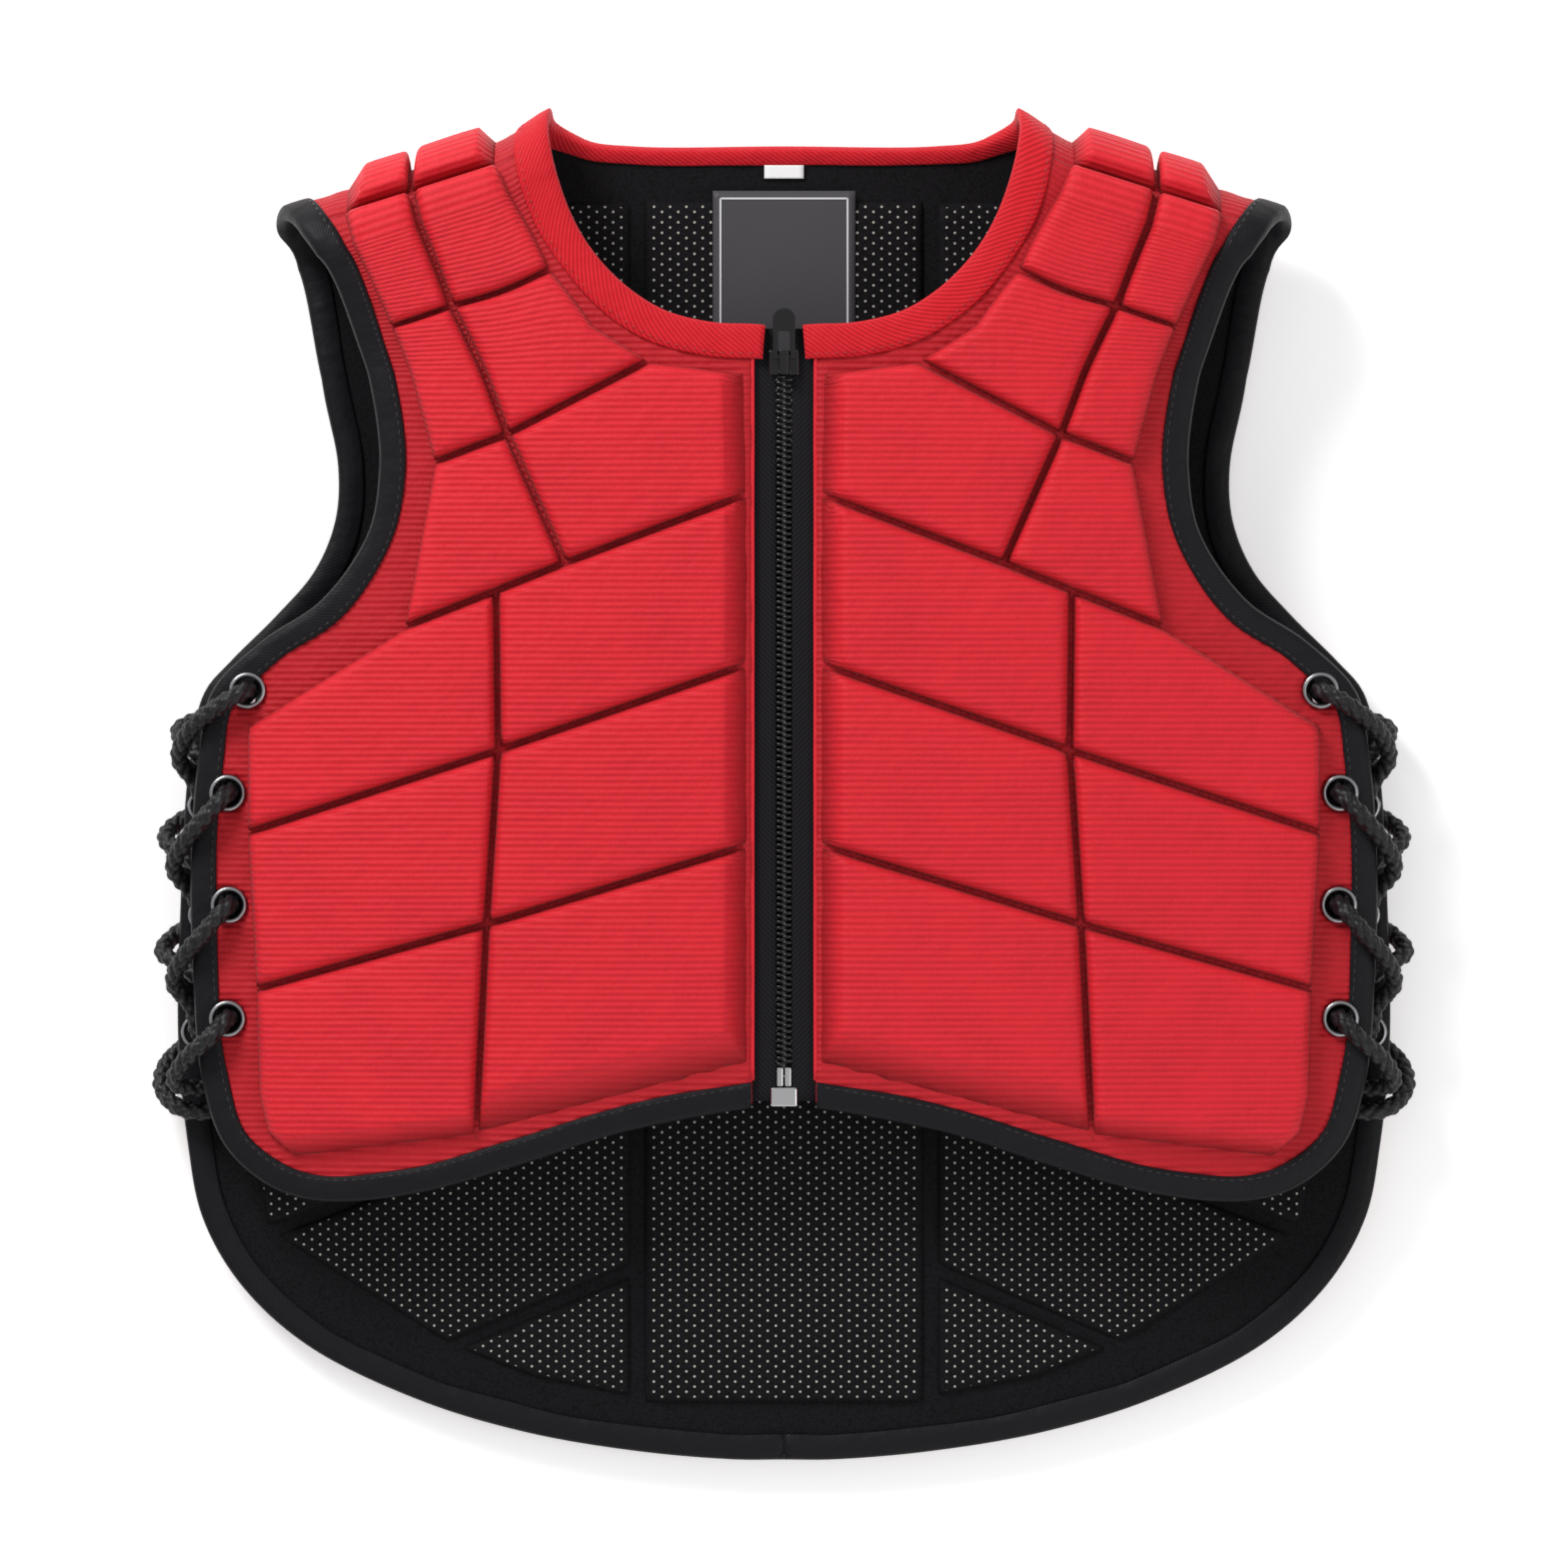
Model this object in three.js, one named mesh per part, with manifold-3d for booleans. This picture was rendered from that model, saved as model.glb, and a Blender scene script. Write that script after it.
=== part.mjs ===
// Equestrian body protector: a laced, zipped vest of foam pads under ribbed cloth, lying on its back.
// Millimetres. +Z is up, +Y points to the shoulders and +X to the wearer's left; the front faces up.
import * as THREE from 'three';
import { mergeVertices } from 'three/addons/utils/BufferGeometryUtils.js';
import Module from 'manifold-3d';

const wasm = await Module();
wasm.setup();

// Overall sizes
const halfWidth = 237.5;
const halfLength = 266;

// Layers, measured from the face where the padded panel meets its lining
const sheetThickness = 2;
const padRise = 9;
const padDraft = 3.5;
const grooveWidth = 3.5;
const layerGap = 0.4;
const liningThickness = 1.2;
const liningRise = 2.5;
const liningDraft = 1.5;
const panelGap = 0.4;

// The fold over the shoulders and the lie of the front and back
const foldRadius = 22;
const frontReach = 22;
const backReach = 14;
const chestRise = 4;
const frontDrop = 20;
const edgeLift = 5;

// Binding tape, folded round the edges
const tapeThickness = 1;
const tapeGap = 0.35;
const edgeTapeWidth = 10;
const neckTapeWidth = 13;
const neckTapeInside = 7;
const tapeOverrun = 4;

// Eyelets and laces
const eyeletOuterRadius = 7.15;
const eyeletHoleRadius = 5.5;
const eyeletGap = 0.3;
const eyeletProud = 0.6;
const eyeletSides = 8;
const laceDiameter = 7;
const laceSides = 8;

// Zip
const zipEdge = 12.4;
const zipTapeThickness = 0.9;
const zipTapeUnder = 7;
const zipTapeBelowNeck = 3.5;
const zipTapeFootRise = 4;
const chainWidth = 6.4;
const chainThickness = 2.6;
const chainGap = 0.3;
const chainAboveHem = 15.8;
const sliderWidth = 11.8;
const sliderLength = 9.6;
const sliderBelowTape = 7;
const sliderPlate = 1.4;
const dividerWidth = 4.4;
const bridgeWidth = 3.7;
const bridgeLength = 9.6;
const bridgeBar = 1.2;
const bridgeOpening = 3;
const pullWidth = 8.7;
const pullLength = 19;
const pullThickness = 1.5;
const pullSlotWidth = 4.5;
const pullSlotLength = 10;
const pinWidth = 2.6;
const pinLength = 7.5;
const zipBoxWidth = 10.5;
const zipBoxLength = 7.4;
const zipBoxThickness = 4.4;

// Label and neck tag on the back lining
const labelWidth = 56;
const labelLength = 68;
const labelBelowNeck = 18.4;
const labelThickness = 0.8;
const tagWidth = 15.5;
const tagLength = 5.5;

const seatGap = 0.3;
const cutPast = 1;
const weld = 1e-4;
const flatness = 0.004;
const snap = 0.02;

// Across is a share of halfWidth and top a share of halfLength: the line where the shoulder folds.
// Drop is the share of frontDrop by which the front sinks there, and lift that of edgeLift at the back.
const acrossRows = [
  { across: 0, top: 1.034, drop: 0, lift: 0 },
  { across: 0.37, top: 1.034, drop: 0.1, lift: 0 },
  { across: 0.46, top: 0.98, drop: 0.18, lift: 0 },
  { across: 0.7, top: 0.912, drop: 0.5, lift: 0 },
  { across: 1.05, top: 0.82, drop: 1, lift: 1 },
];

// Down the front from the end of the fold, in shares of halfLength, chestRise and frontDrop
const frontRows = [
  { below: 0, rise: 0, spread: 0 },
  { below: 0.3, rise: 1, spread: 1 },
  { below: 1.8, rise: -1, spread: 1 },
];

// Down the back, in shares of halfLength and edgeLift
const backRows = [
  { below: 0, spread: 0 },
  { below: 0.3, spread: 1 },
  { below: 2.3, spread: 1 },
];

// From this share of halfLength down, the cloth's own lines run straight across the body
const levelUp = 0.6;

// Edges seen from above, in shares: out of halfWidth, up of halfLength
const frontNeck = [
  { out: 0.052, up: 0.671 },
  { out: 0.12, up: 0.674 },
  { out: 0.204, up: 0.695 },
  { out: 0.287, up: 0.751 },
  { out: 0.347, up: 0.83 },
];
const frontArmhole = [
  { out: 0.752, up: 0.76 },
  { out: 0.7, up: 0.648 },
  { out: 0.666, up: 0.522 },
  { out: 0.663, up: 0.457 },
  { out: 0.681, up: 0.368 },
  { out: 0.757, up: 0.27 },
  { out: 0.856, up: 0.21 },
  { out: 0.94, up: 0.135 },
];
const frontHem = [
  { out: 0.962, up: 0.04 },
  { out: 0.975, up: -0.12 },
  { out: 0.97, up: -0.315 },
  { out: 0.957, up: -0.434 },
  { out: 0.92, up: -0.53 },
  { out: 0.845, up: -0.59 },
  { out: 0.762, up: -0.611 },
  { out: 0.608, up: -0.6 },
  { out: 0.426, up: -0.555 },
  { out: 0.269, up: -0.51 },
  { out: 0.052, up: -0.473 },
];
const backNeck = [
  { out: 0, up: 0.945 },
  { out: 0.25, up: 0.945 },
  { out: 0.33, up: 0.955 },
];
const backArmhole = [
  { out: 0.809, up: 0.776 },
  { out: 0.765, up: 0.59 },
  { out: 0.739, up: 0.469 },
  { out: 0.744, up: 0.389 },
  { out: 0.778, up: 0.315 },
  { out: 0.841, up: 0.249 },
  { out: 0.916, up: 0.182 },
  { out: 0.96, up: 0.135 },
];
const backHem = [
  { out: 0.985, up: 0.03 },
  { out: 1, up: -0.196 },
  { out: 1.003, up: -0.38 },
  { out: 0.987, up: -0.534 },
  { out: 0.963, up: -0.641 },
  { out: 0.901, up: -0.739 },
  { out: 0.791, up: -0.83 },
  { out: 0.608, up: -0.911 },
  { out: 0.426, up: -0.96 },
  { out: 0.24, up: -0.988 },
  { out: 0.08, up: -1 },
  { out: 0, up: -1 },
];

// The shoulder strap's edges, in shares of halfWidth, at the front seam, the top and the back seam
const strapEdges = { neck: [0.385, 0.382, 0.375], arm: [0.793, 0.83, 0.838] };
const strapPads = { neck: 0.468, seam: 0.611, arm: 0.722 };

// Sewn lines across the front, from the armhole to the zip. Pads lie between one line and the next.
const frontSeams = [
  { outer: { out: 0.645, up: 0.667 }, seam: { out: 0.543, up: 0.697 }, inner: { out: 0.379, up: 0.751 } },
  { outer: { out: 0.574, up: 0.469 }, seam: { out: 0.452, up: 0.51 }, inner: { out: 0.219, up: 0.618 } },
  { outer: { out: 0.624, up: 0.228 }, seam: { out: 0.358, up: 0.322 }, inner: { out: 0.06, up: 0.422 } },
  { outer: { out: 0.883, up: -0.072 }, seam: { out: 0.467, up: 0.049 }, inner: { out: 0.06, up: 0.174 } },
  { outer: { out: 0.869, up: -0.301 }, seam: { out: 0.486, up: -0.205 }, inner: { out: 0.06, up: -0.09 } },
  { outer: { out: 0.781, up: -0.522 }, seam: { out: 0.499, up: -0.478 }, inner: { out: 0.06, up: -0.33 } },
];
const frontCorners = {
  neckMiddle: { out: 0.308, up: 0.669 },
  neckZip: { out: 0.063, up: 0.598 },
  lowerSeamTop: { out: 0.47, up: 0.282 },
  side: { out: 0.883, up: 0.085 },
  hemSide: { out: 0.859, up: -0.436 },
};

// Sewn lines across the back, from the armhole to the middle column
const backSeams = [
  { outer: { out: 0.718, up: 0.746 }, seam: { out: 0.562, up: 0.802 }, inner: { out: 0.245, up: 0.868 } },
  { outer: { out: 0.66, up: 0.549 }, seam: { out: 0.51, up: 0.603 }, inner: { out: 0.245, up: 0.677 } },
  { outer: { out: 0.66, up: 0.327 }, seam: { out: 0.507, up: 0.386 }, inner: { out: 0.245, up: 0.462 } },
  { outer: { out: 0.905, up: 0.033 }, seam: { out: 0.514, up: 0.159 }, inner: { out: 0.245, up: 0.24 } },
  { outer: { out: 0.895, up: -0.189 }, seam: { out: 0.527, up: -0.069 }, inner: { out: 0.245, up: 0.009 } },
  { outer: { out: 0.915, up: -0.435 }, seam: { out: 0.53, up: -0.312 }, inner: { out: 0.245, up: -0.223 } },
  { outer: { out: 0.862, up: -0.665 }, seam: { out: 0.516, up: -0.548 }, inner: { out: 0.245, up: -0.455 } },
];
const backCorners = {
  neck: { out: 0.4, up: 0.862 },
  armhole: { out: 0.745, up: 0.212 },
  side: { out: 0.86, up: 0.113 },
  tailSide: { out: 0.56, up: -0.835 },
  tailSeam: { out: 0.245, up: -0.716 },
  tailLow: { out: 0.42, up: -0.885 },
  tailFoot: { out: 0.245, up: -0.915 },
};
const columnHalf = 0.237;
const columnSeams = [0.872, 0.031, -0.45, -0.924];

// Eyelets, from the armhole down
const frontEyelets = [
  { out: 0.88, up: 0.137 },
  { out: 0.913, up: -0.013 },
  { out: 0.911, up: -0.177 },
  { out: 0.914, up: -0.344 },
];
const backEyelets = [
  { out: 0.897, up: 0.127 },
  { out: 0.957, up: -0.032 },
  { out: 0.957, up: -0.193 },
  { out: 0.968, up: -0.366 },
];

// One lace's route in millimetres: out from the middle, y along the body and z above the floor.
// It starts tucked in at the hem, climbs through every second eyelet and comes back through the others.
const laceRoute = [
  { out: 206, y: -122, z: 24.5 },
  { out: 222, y: -128, z: 24.5 },
  { out: 237, y: -127, z: 25 },
  { out: 244.5, y: -119, z: 18 },
  { out: 243, y: -110, z: 9 },
  { out: 235, y: -102, z: 5.6 },
  { out: 230, y: -97.4, z: 9 },
  { out: 230, y: -97.4, z: 22 },
  { out: 232, y: -87, z: 27.5 },
  { out: 238.5, y: -78, z: 34 },
  { out: 234.5, y: -68, z: 43.5 },
  { out: 225, y: -57, z: 49 },
  { out: 216.5, y: -47.1, z: 45.5 },
  { out: 216.4, y: -47.1, z: 30.5 },
  { out: 224, y: -36, z: 27 },
  { out: 236, y: -27.5, z: 24.5 },
  { out: 243, y: -22, z: 17 },
  { out: 241, y: -17, z: 8.5 },
  { out: 232, y: -11, z: 5.4 },
  { out: 227.3, y: -8.5, z: 9 },
  { out: 227.3, y: -8.5, z: 21.5 },
  { out: 231, y: 1, z: 26.5 },
  { out: 236.5, y: 10, z: 33 },
  { out: 231.5, y: 21, z: 44 },
  { out: 219, y: 31, z: 51 },
  { out: 209.5, y: 36.4, z: 48 },
  { out: 209, y: 36.4, z: 33 },
  { out: 212.5, y: 33.8, z: 23 },
  { out: 213, y: 33.8, z: 10 },
  { out: 218.5, y: 31, z: 5.4 },
  { out: 230, y: 26, z: 6.5 },
  { out: 238, y: 21, z: 14 },
  { out: 233.5, y: 14.5, z: 23 },
  { out: 222, y: 5, z: 27 },
  { out: 216.8, y: -3.5, z: 31 },
  { out: 216.8, y: -3.5, z: 46.5 },
  { out: 224.5, y: -12, z: 50 },
  { out: 234, y: -23, z: 44.5 },
  { out: 238.5, y: -33, z: 35 },
  { out: 232.5, y: -42, z: 27 },
  { out: 227.3, y: -51.3, z: 21.5 },
  { out: 227.3, y: -51.3, z: 9 },
  { out: 232, y: -54, z: 5.4 },
  { out: 241, y: -60.5, z: 8.5 },
  { out: 244.2, y: -66, z: 17 },
  { out: 236, y: -71.5, z: 24 },
  { out: 224, y: -80, z: 26.5 },
  { out: 217.1, y: -91.5, z: 29 },
  { out: 217.1, y: -91.5, z: 44.5 },
  { out: 224, y: -99, z: 48 },
  { out: 234, y: -108, z: 42 },
  { out: 238, y: -117, z: 33 },
  { out: 227, y: -119, z: 25.8 },
  { out: 212, y: -112, z: 25 },
];

const colors = {
  padCloth: { color: 0xe8323f, roughness: 0.72 },
  neckTape: { color: 0xd8202e, roughness: 0.75 },
  blackTape: { color: 0x242226, roughness: 0.5 },
  lining: { color: 0x1c1a1d, roughness: 0.85 },
  label: { color: 0x3e3c41, roughness: 0.6 },
  tag: { color: 0xf2f2f2, roughness: 0.7 },
  cord: { color: 0x19181b, roughness: 0.7 },
  zipTape: { color: 0x1a191b, roughness: 0.8 },
  blackMetal: { color: 0x2a2a2c, roughness: 0.35, metalness: 0.8 },
  silver: { color: 0xc9c9cc, roughness: 0.25, metalness: 1 },
};

const quarterArc = (foldRadius * Math.PI) / 2;
const padTop = sheetThickness + padRise;
const foldHeight = padTop + foldRadius;
const liningBase = -layerGap;
const liningSkin = -layerGap - liningThickness;

const levelY = levelUp * halfLength;
const levelReach = frontRows[1].below * halfLength;

const xStations = acrossRows.map((row) => row.across * halfWidth);
const foldStations = [0, 0.25, 0.5, 0.75].map((share) => share * quarterArc);
const tStations = [
  ...backRows.map((row) => -quarterArc - row.below * halfLength).reverse(),
  ...foldStations.slice(1).map((t) => -t).reverse(),
  ...foldStations,
  ...frontRows.map((row) => quarterArc + row.below * halfLength),
];

function rowAt(rows, key, value) {
  let next = 1;
  while (next < rows.length - 1 && value > rows[next][key]) next += 1;
  const low = rows[next - 1];
  const high = rows[next];
  const share = (value - low[key]) / (high[key] - low[key]);
  const mixed = {};
  for (const name of Object.keys(low)) mixed[name] = low[name] + (high[name] - low[name]) * share;
  return mixed;
}

function foldCentre(x) {
  return rowAt(acrossRows, 'across', Math.abs(x) / halfWidth).top * halfLength - foldRadius - padTop;
}

// The sheet's shape: x across, t along the cloth from the top of the fold (front positive), h outwards
function bend(x, t, h) {
  const across = rowAt(acrossRows, 'across', x / halfWidth);
  const centre = foldCentre(x);
  const beyond = Math.abs(t) - quarterArc;
  const y = beyond < levelReach
    ? centre + ((levelY - centre) * beyond) / levelReach
    : levelY - (beyond - levelReach);
  if (beyond < 0) {
    const angle = t / foldRadius;
    const radius = foldRadius + h;
    return [x, centre + radius * Math.cos(angle), foldHeight + radius * Math.sin(angle)];
  }
  if (t > 0) {
    const row = rowAt(frontRows, 'below', beyond / halfLength);
    const z = foldHeight + foldRadius + row.rise * chestRise - row.spread * across.drop * frontDrop;
    return [x, y, z + h];
  }
  const row = rowAt(backRows, 'below', beyond / halfLength);
  return [x, y, foldHeight - foldRadius + row.spread * across.lift * edgeLift - h];
}

function cellOf(stations, value) {
  let next = 1;
  while (next < stations.length - 1 && value > stations[next]) next += 1;
  const low = stations[next - 1];
  const high = stations[next];
  return { low, high, share: (value - low) / (high - low) };
}

// Between its stations the sheet is flat, with one crease across each cell, so that its layers stay parallel
function place(x, t, h) {
  const side = x < 0 ? -1 : 1;
  const column = cellOf(xStations, Math.abs(x));
  const row = cellOf(tStations, t);
  const start = bend(column.low, row.low, h);
  const end = bend(column.high, row.high, h);
  const across = column.share > row.share;
  const middle = across ? bend(column.high, row.low, h) : bend(column.low, row.high, h);
  const first = across ? column.share : row.share;
  const second = across ? row.share : column.share;
  const mixed = start.map((c, i) => c + (middle[i] - c) * first + (end[i] - middle[i]) * second);
  return [side * mixed[0], mixed[1], mixed[2]];
}

// A point seen from above becomes x and t on the cloth; face is 1 on the front and -1 on the back
function pattern(point, face) {
  const x = point.out * halfWidth;
  const y = point.up * halfLength;
  const centre = foldCentre(x);
  let t = foldRadius * Math.acos(Math.min(1, (y - centre) / (foldRadius + sheetThickness)));
  if (y <= centre) t = quarterArc + (levelReach * (centre - y)) / (centre - levelY);
  if (y <= levelY) t = quarterArc + levelReach + levelY - y;
  return new THREE.Vector2(x, face * t);
}

const onFront = (point) => pattern(point, 1);
const onBack = (point) => pattern(point, -1);
const mirrored = (points) => points.map((p) => new THREE.Vector2(-p.x, p.y)).reverse();

function areaSign(points) {
  return Math.sign(THREE.ShapeUtils.area(points)) || 1;
}

// Moves each side of an outline inwards by its own distance
function insetOutline(points, distances) {
  const turn = areaSign(points);
  const count = points.length;
  const sides = points.map((p, i) => {
    const q = points[(i + 1) % count];
    const along = q.clone().sub(p).normalize();
    const normal = new THREE.Vector2(-along.y * turn, along.x * turn);
    const distance = Array.isArray(distances) ? distances[i] : distances;
    return { start: p.clone().addScaledVector(normal, distance), along, normal, distance };
  });
  return points.map((p, i) => {
    const before = sides[(i + count - 1) % count];
    const after = sides[i];
    const cross = before.along.x * after.along.y - before.along.y * after.along.x;
    if (Math.abs(cross) < 0.01) return p.clone().addScaledVector(after.normal, after.distance);
    const gap = after.start.clone().sub(before.start);
    const reach = (gap.x * after.along.y - gap.y * after.along.x) / cross;
    return before.start.clone().addScaledVector(before.along, reach);
  });
}

function soft(geometry) {
  geometry.deleteAttribute('normal');
  geometry.deleteAttribute('uv');
  return mergeVertices(geometry, weld);
}

function slab(outline, low, high) {
  const shape = new THREE.Shape(outline);
  const geometry = new THREE.ExtrudeGeometry(shape, { depth: high - low, bevelEnabled: false });
  geometry.translate(0, 0, low);
  return soft(geometry);
}

// A pad: a slab whose far face is drawn in, with the cloth running down its sides
function padBlock(outline, low, high, draft) {
  const base = insetOutline(outline, grooveWidth / 2);
  const crown = insetOutline(base, draft);
  const geometry = slab(base, Math.min(low, high), Math.max(low, high));
  const position = geometry.attributes.position;
  for (let i = 0; i < position.count; i += 1) {
    if (Math.abs(position.getZ(i) - high) > weld) continue;
    const here = new THREE.Vector2(position.getX(i), position.getY(i));
    const corner = base.findIndex((p) => p.distanceTo(here) < 0.01);
    position.setXY(i, crown[corner].x, crown[corner].y);
  }
  return geometry;
}

function toSolid(geometry) {
  return new wasm.Manifold(new wasm.Mesh({
    numProp: 3,
    vertProperties: new Float32Array(geometry.attributes.position.array),
    triVerts: new Uint32Array(geometry.index.array),
  }));
}

function toGeometry(solid) {
  const mesh = solid.getMesh();
  const geometry = new THREE.BufferGeometry();
  geometry.setAttribute('position', new THREE.BufferAttribute(new Float32Array(mesh.vertProperties), 3));
  geometry.setIndex(new THREE.BufferAttribute(new Uint32Array(mesh.triVerts), 1));
  return geometry;
}

function joinAll(geometries) {
  return geometries.map(toSolid).reduce((sum, solid) => sum.add(solid));
}

function box(width, length, height, x, y, z) {
  const geometry = new THREE.BoxGeometry(width, length, height);
  geometry.translate(x, y, z);
  return toSolid(soft(geometry));
}

function drill(solid, centres, radius, depth) {
  return centres.reduce((body, centre) => {
    const hole = new THREE.CylinderGeometry(radius, radius, 2 * depth, eyeletSides);
    hole.rotateX(Math.PI / 2);
    hole.translate(centre.x, centre.y, 0);
    return body.subtract(toSolid(soft(hole)));
  }, solid);
}

// Splits triangles where they cross a line on the cloth, so that a crease falls on an edge.
// Distance is measured from the line; only edges that lie in the wanted stretch are split.
function splitAt(mesh, distance, wanted) {
  const { points, faces } = mesh;
  const gaps = points.map((p) => {
    const gap = distance(p);
    return Math.abs(gap) < snap ? 0 : gap;
  });
  const onEdge = new Map();
  const crossing = (a, b) => {
    if (gaps[a] * gaps[b] >= 0 || !wanted(points[a]) || !wanted(points[b])) return -1;
    const [from, to] = a < b ? [a, b] : [b, a];
    const key = `${from},${to}`;
    if (!onEdge.has(key)) {
      const share = gaps[from] / (gaps[from] - gaps[to]);
      onEdge.set(key, points.length);
      points.push(points[from].map((c, i) => c + (points[to][i] - c) * share));
    }
    return onEdge.get(key);
  };
  const cut = faces.flatMap((face) => {
    const middles = face.map((a, i) => crossing(a, face[(i + 1) % 3]));
    const split = [0, 1, 2].filter((i) => middles[i] >= 0);
    if (split.length === 0) return [face];
    if (split.length === 1) {
      const i = split[0];
      const [a, b, c] = [face[i], face[(i + 1) % 3], face[(i + 2) % 3]];
      return [[a, middles[i], c], [middles[i], b, c]];
    }
    const whole = [0, 1, 2].find((i) => middles[i] < 0);
    const [a, b, c] = [face[whole], face[(whole + 1) % 3], face[(whole + 2) % 3]];
    const onNext = middles[(whole + 1) % 3];
    const onLast = middles[(whole + 2) % 3];
    return [[onLast, onNext, c], [a, b, onNext], [a, onNext, onLast]];
  });
  return { points, faces: cut };
}

function laid(solid) {
  const geometry = toGeometry(solid);
  const { array } = geometry.attributes.position;
  const index = geometry.index.array;
  let mesh = { points: [], faces: [] };
  for (let i = 0; i < array.length; i += 3) mesh.points.push([array[i], array[i + 1], array[i + 2]]);
  for (let i = 0; i < index.length; i += 3) mesh.faces.push([index[i], index[i + 1], index[i + 2]]);
  for (const t of tStations) mesh = splitAt(mesh, (p) => p[1] - t, () => true);
  const flatBack = -quarterArc - levelReach;
  xStations.slice(0, -1).forEach((x, i) => {
    const creased = acrossRows[i].drop > 0 && acrossRows[i + 1].lift > 0;
    const wanted = creased ? () => true : (p) => p[1] > flatBack - weld;
    for (const side of [1, -1]) mesh = splitAt(mesh, (p) => p[0] - side * x, wanted);
  });
  for (const row of [quarterArc, flatBack]) {
    for (let i = 1; i < xStations.length; i += 1) {
      const [low, high] = [xStations[i - 1], xStations[i]];
      const slope = levelReach / (high - low);
      const inCell = (side) => (p) => p[1] > row - weld && p[1] < row + levelReach + weld
        && side * p[0] > low - weld && side * p[0] < high + weld;
      for (const side of [1, -1]) {
        mesh = splitAt(mesh, (p) => p[1] - row - slope * (side * p[0] - low), inCell(side));
      }
    }
  }
  const placed = new THREE.BufferGeometry();
  const positions = mesh.points.flatMap((p) => place(p[0], p[1], p[2]));
  placed.setAttribute('position', new THREE.Float32BufferAttribute(positions, 3));
  placed.setIndex(mesh.faces.flatMap(([a, b, c]) => [a, c, b]));
  return toGeometry(toSolid(placed).simplify(flatness));
}

function mirrorGeometry(geometry) {
  const copy = geometry.clone();
  copy.scale(-1, 1, 1);
  const index = [...copy.index.array];
  for (let i = 0; i < index.length; i += 3) [index[i + 1], index[i + 2]] = [index[i + 2], index[i + 1]];
  copy.setIndex(index);
  return copy;
}

const group = new THREE.Group();

function addMesh(name, geometry, finish) {
  const mesh = new THREE.Mesh(geometry, new THREE.MeshStandardMaterial(colors[finish]));
  mesh.name = name;
  group.add(mesh);
}

function addPair(name, geometry, finish) {
  addMesh(`${name}_left`, geometry, finish);
  addMesh(`${name}_right`, mirrorGeometry(geometry), finish);
}

// Edge lines on the cloth
const strapPoint = (edge, step) => new THREE.Vector2(
  strapEdges[edge][step] * halfWidth,
  [frontReach, 0, -backReach][step],
);
const frontNeckLine = frontNeck.map(onFront);
const frontArmLine = frontArmhole.map(onFront);
const frontHemLine = frontHem.map(onFront);
const backNeckLine = backNeck.map(onBack);
const backArmLine = backArmhole.map(onBack);
const backHemLine = backHem.map(onBack);
const underTape = tapeThickness + tapeGap;

// Panels
function frontOutline(zipInset) {
  const points = [
    ...frontNeckLine,
    strapPoint('neck', 0),
    strapPoint('arm', 0),
    ...frontArmLine,
    ...frontHemLine,
  ];
  const strapSide = frontNeckLine.length;
  const insets = points.map((_, i) => {
    if (i === points.length - 1) return zipInset;
    return i === strapSide ? panelGap / 2 : underTape;
  });
  return insetOutline(points, insets);
}

function backOutline() {
  const half = [
    ...backNeckLine.slice(1),
    strapPoint('neck', 2),
    strapPoint('arm', 2),
    ...backArmLine,
    ...backHemLine.slice(0, -1),
  ];
  const points = [
    backNeckLine[0],
    ...half,
    backHemLine[backHemLine.length - 1],
    ...half.map((p) => new THREE.Vector2(-p.x, p.y)).reverse(),
  ];
  const strapSide = backNeckLine.length;
  const insets = points.map((_, i) => {
    const onStrap = i === strapSide || i === points.length - strapSide - 1;
    return onStrap ? panelGap / 2 : underTape;
  });
  return insetOutline(points, insets);
}

function frontPads() {
  const seams = frontSeams.map((row) => ({
    outer: onFront(row.outer),
    seam: onFront(row.seam),
    inner: onFront(row.inner),
  }));
  const corner = Object.fromEntries(Object.entries(frontCorners).map(([name, p]) => [name, onFront(p)]));
  const top = (share) => new THREE.Vector2(share * halfWidth, frontReach);
  const [chest, rib, waist, upper, lower, foot] = seams;
  return [
    [top(strapPads.arm), top(strapPads.seam), chest.seam, chest.outer],
    [top(strapPads.seam), top(strapPads.neck), chest.inner, chest.seam],
    [chest.outer, chest.seam, rib.seam, rib.outer],
    [chest.seam, chest.inner, corner.neckMiddle, rib.inner, rib.seam],
    [rib.outer, rib.seam, waist.seam, waist.outer],
    [rib.seam, rib.inner, corner.neckZip, waist.inner, waist.seam],
    [corner.side, waist.outer, corner.lowerSeamTop, upper.seam, upper.outer],
    [corner.lowerSeamTop, waist.seam, waist.inner, upper.inner, upper.seam],
    [upper.outer, upper.seam, lower.seam, lower.outer],
    [upper.seam, upper.inner, lower.inner, lower.seam],
    [lower.outer, lower.seam, foot.seam, foot.outer, corner.hemSide],
    [lower.seam, lower.inner, foot.inner, foot.seam],
  ];
}

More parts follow.
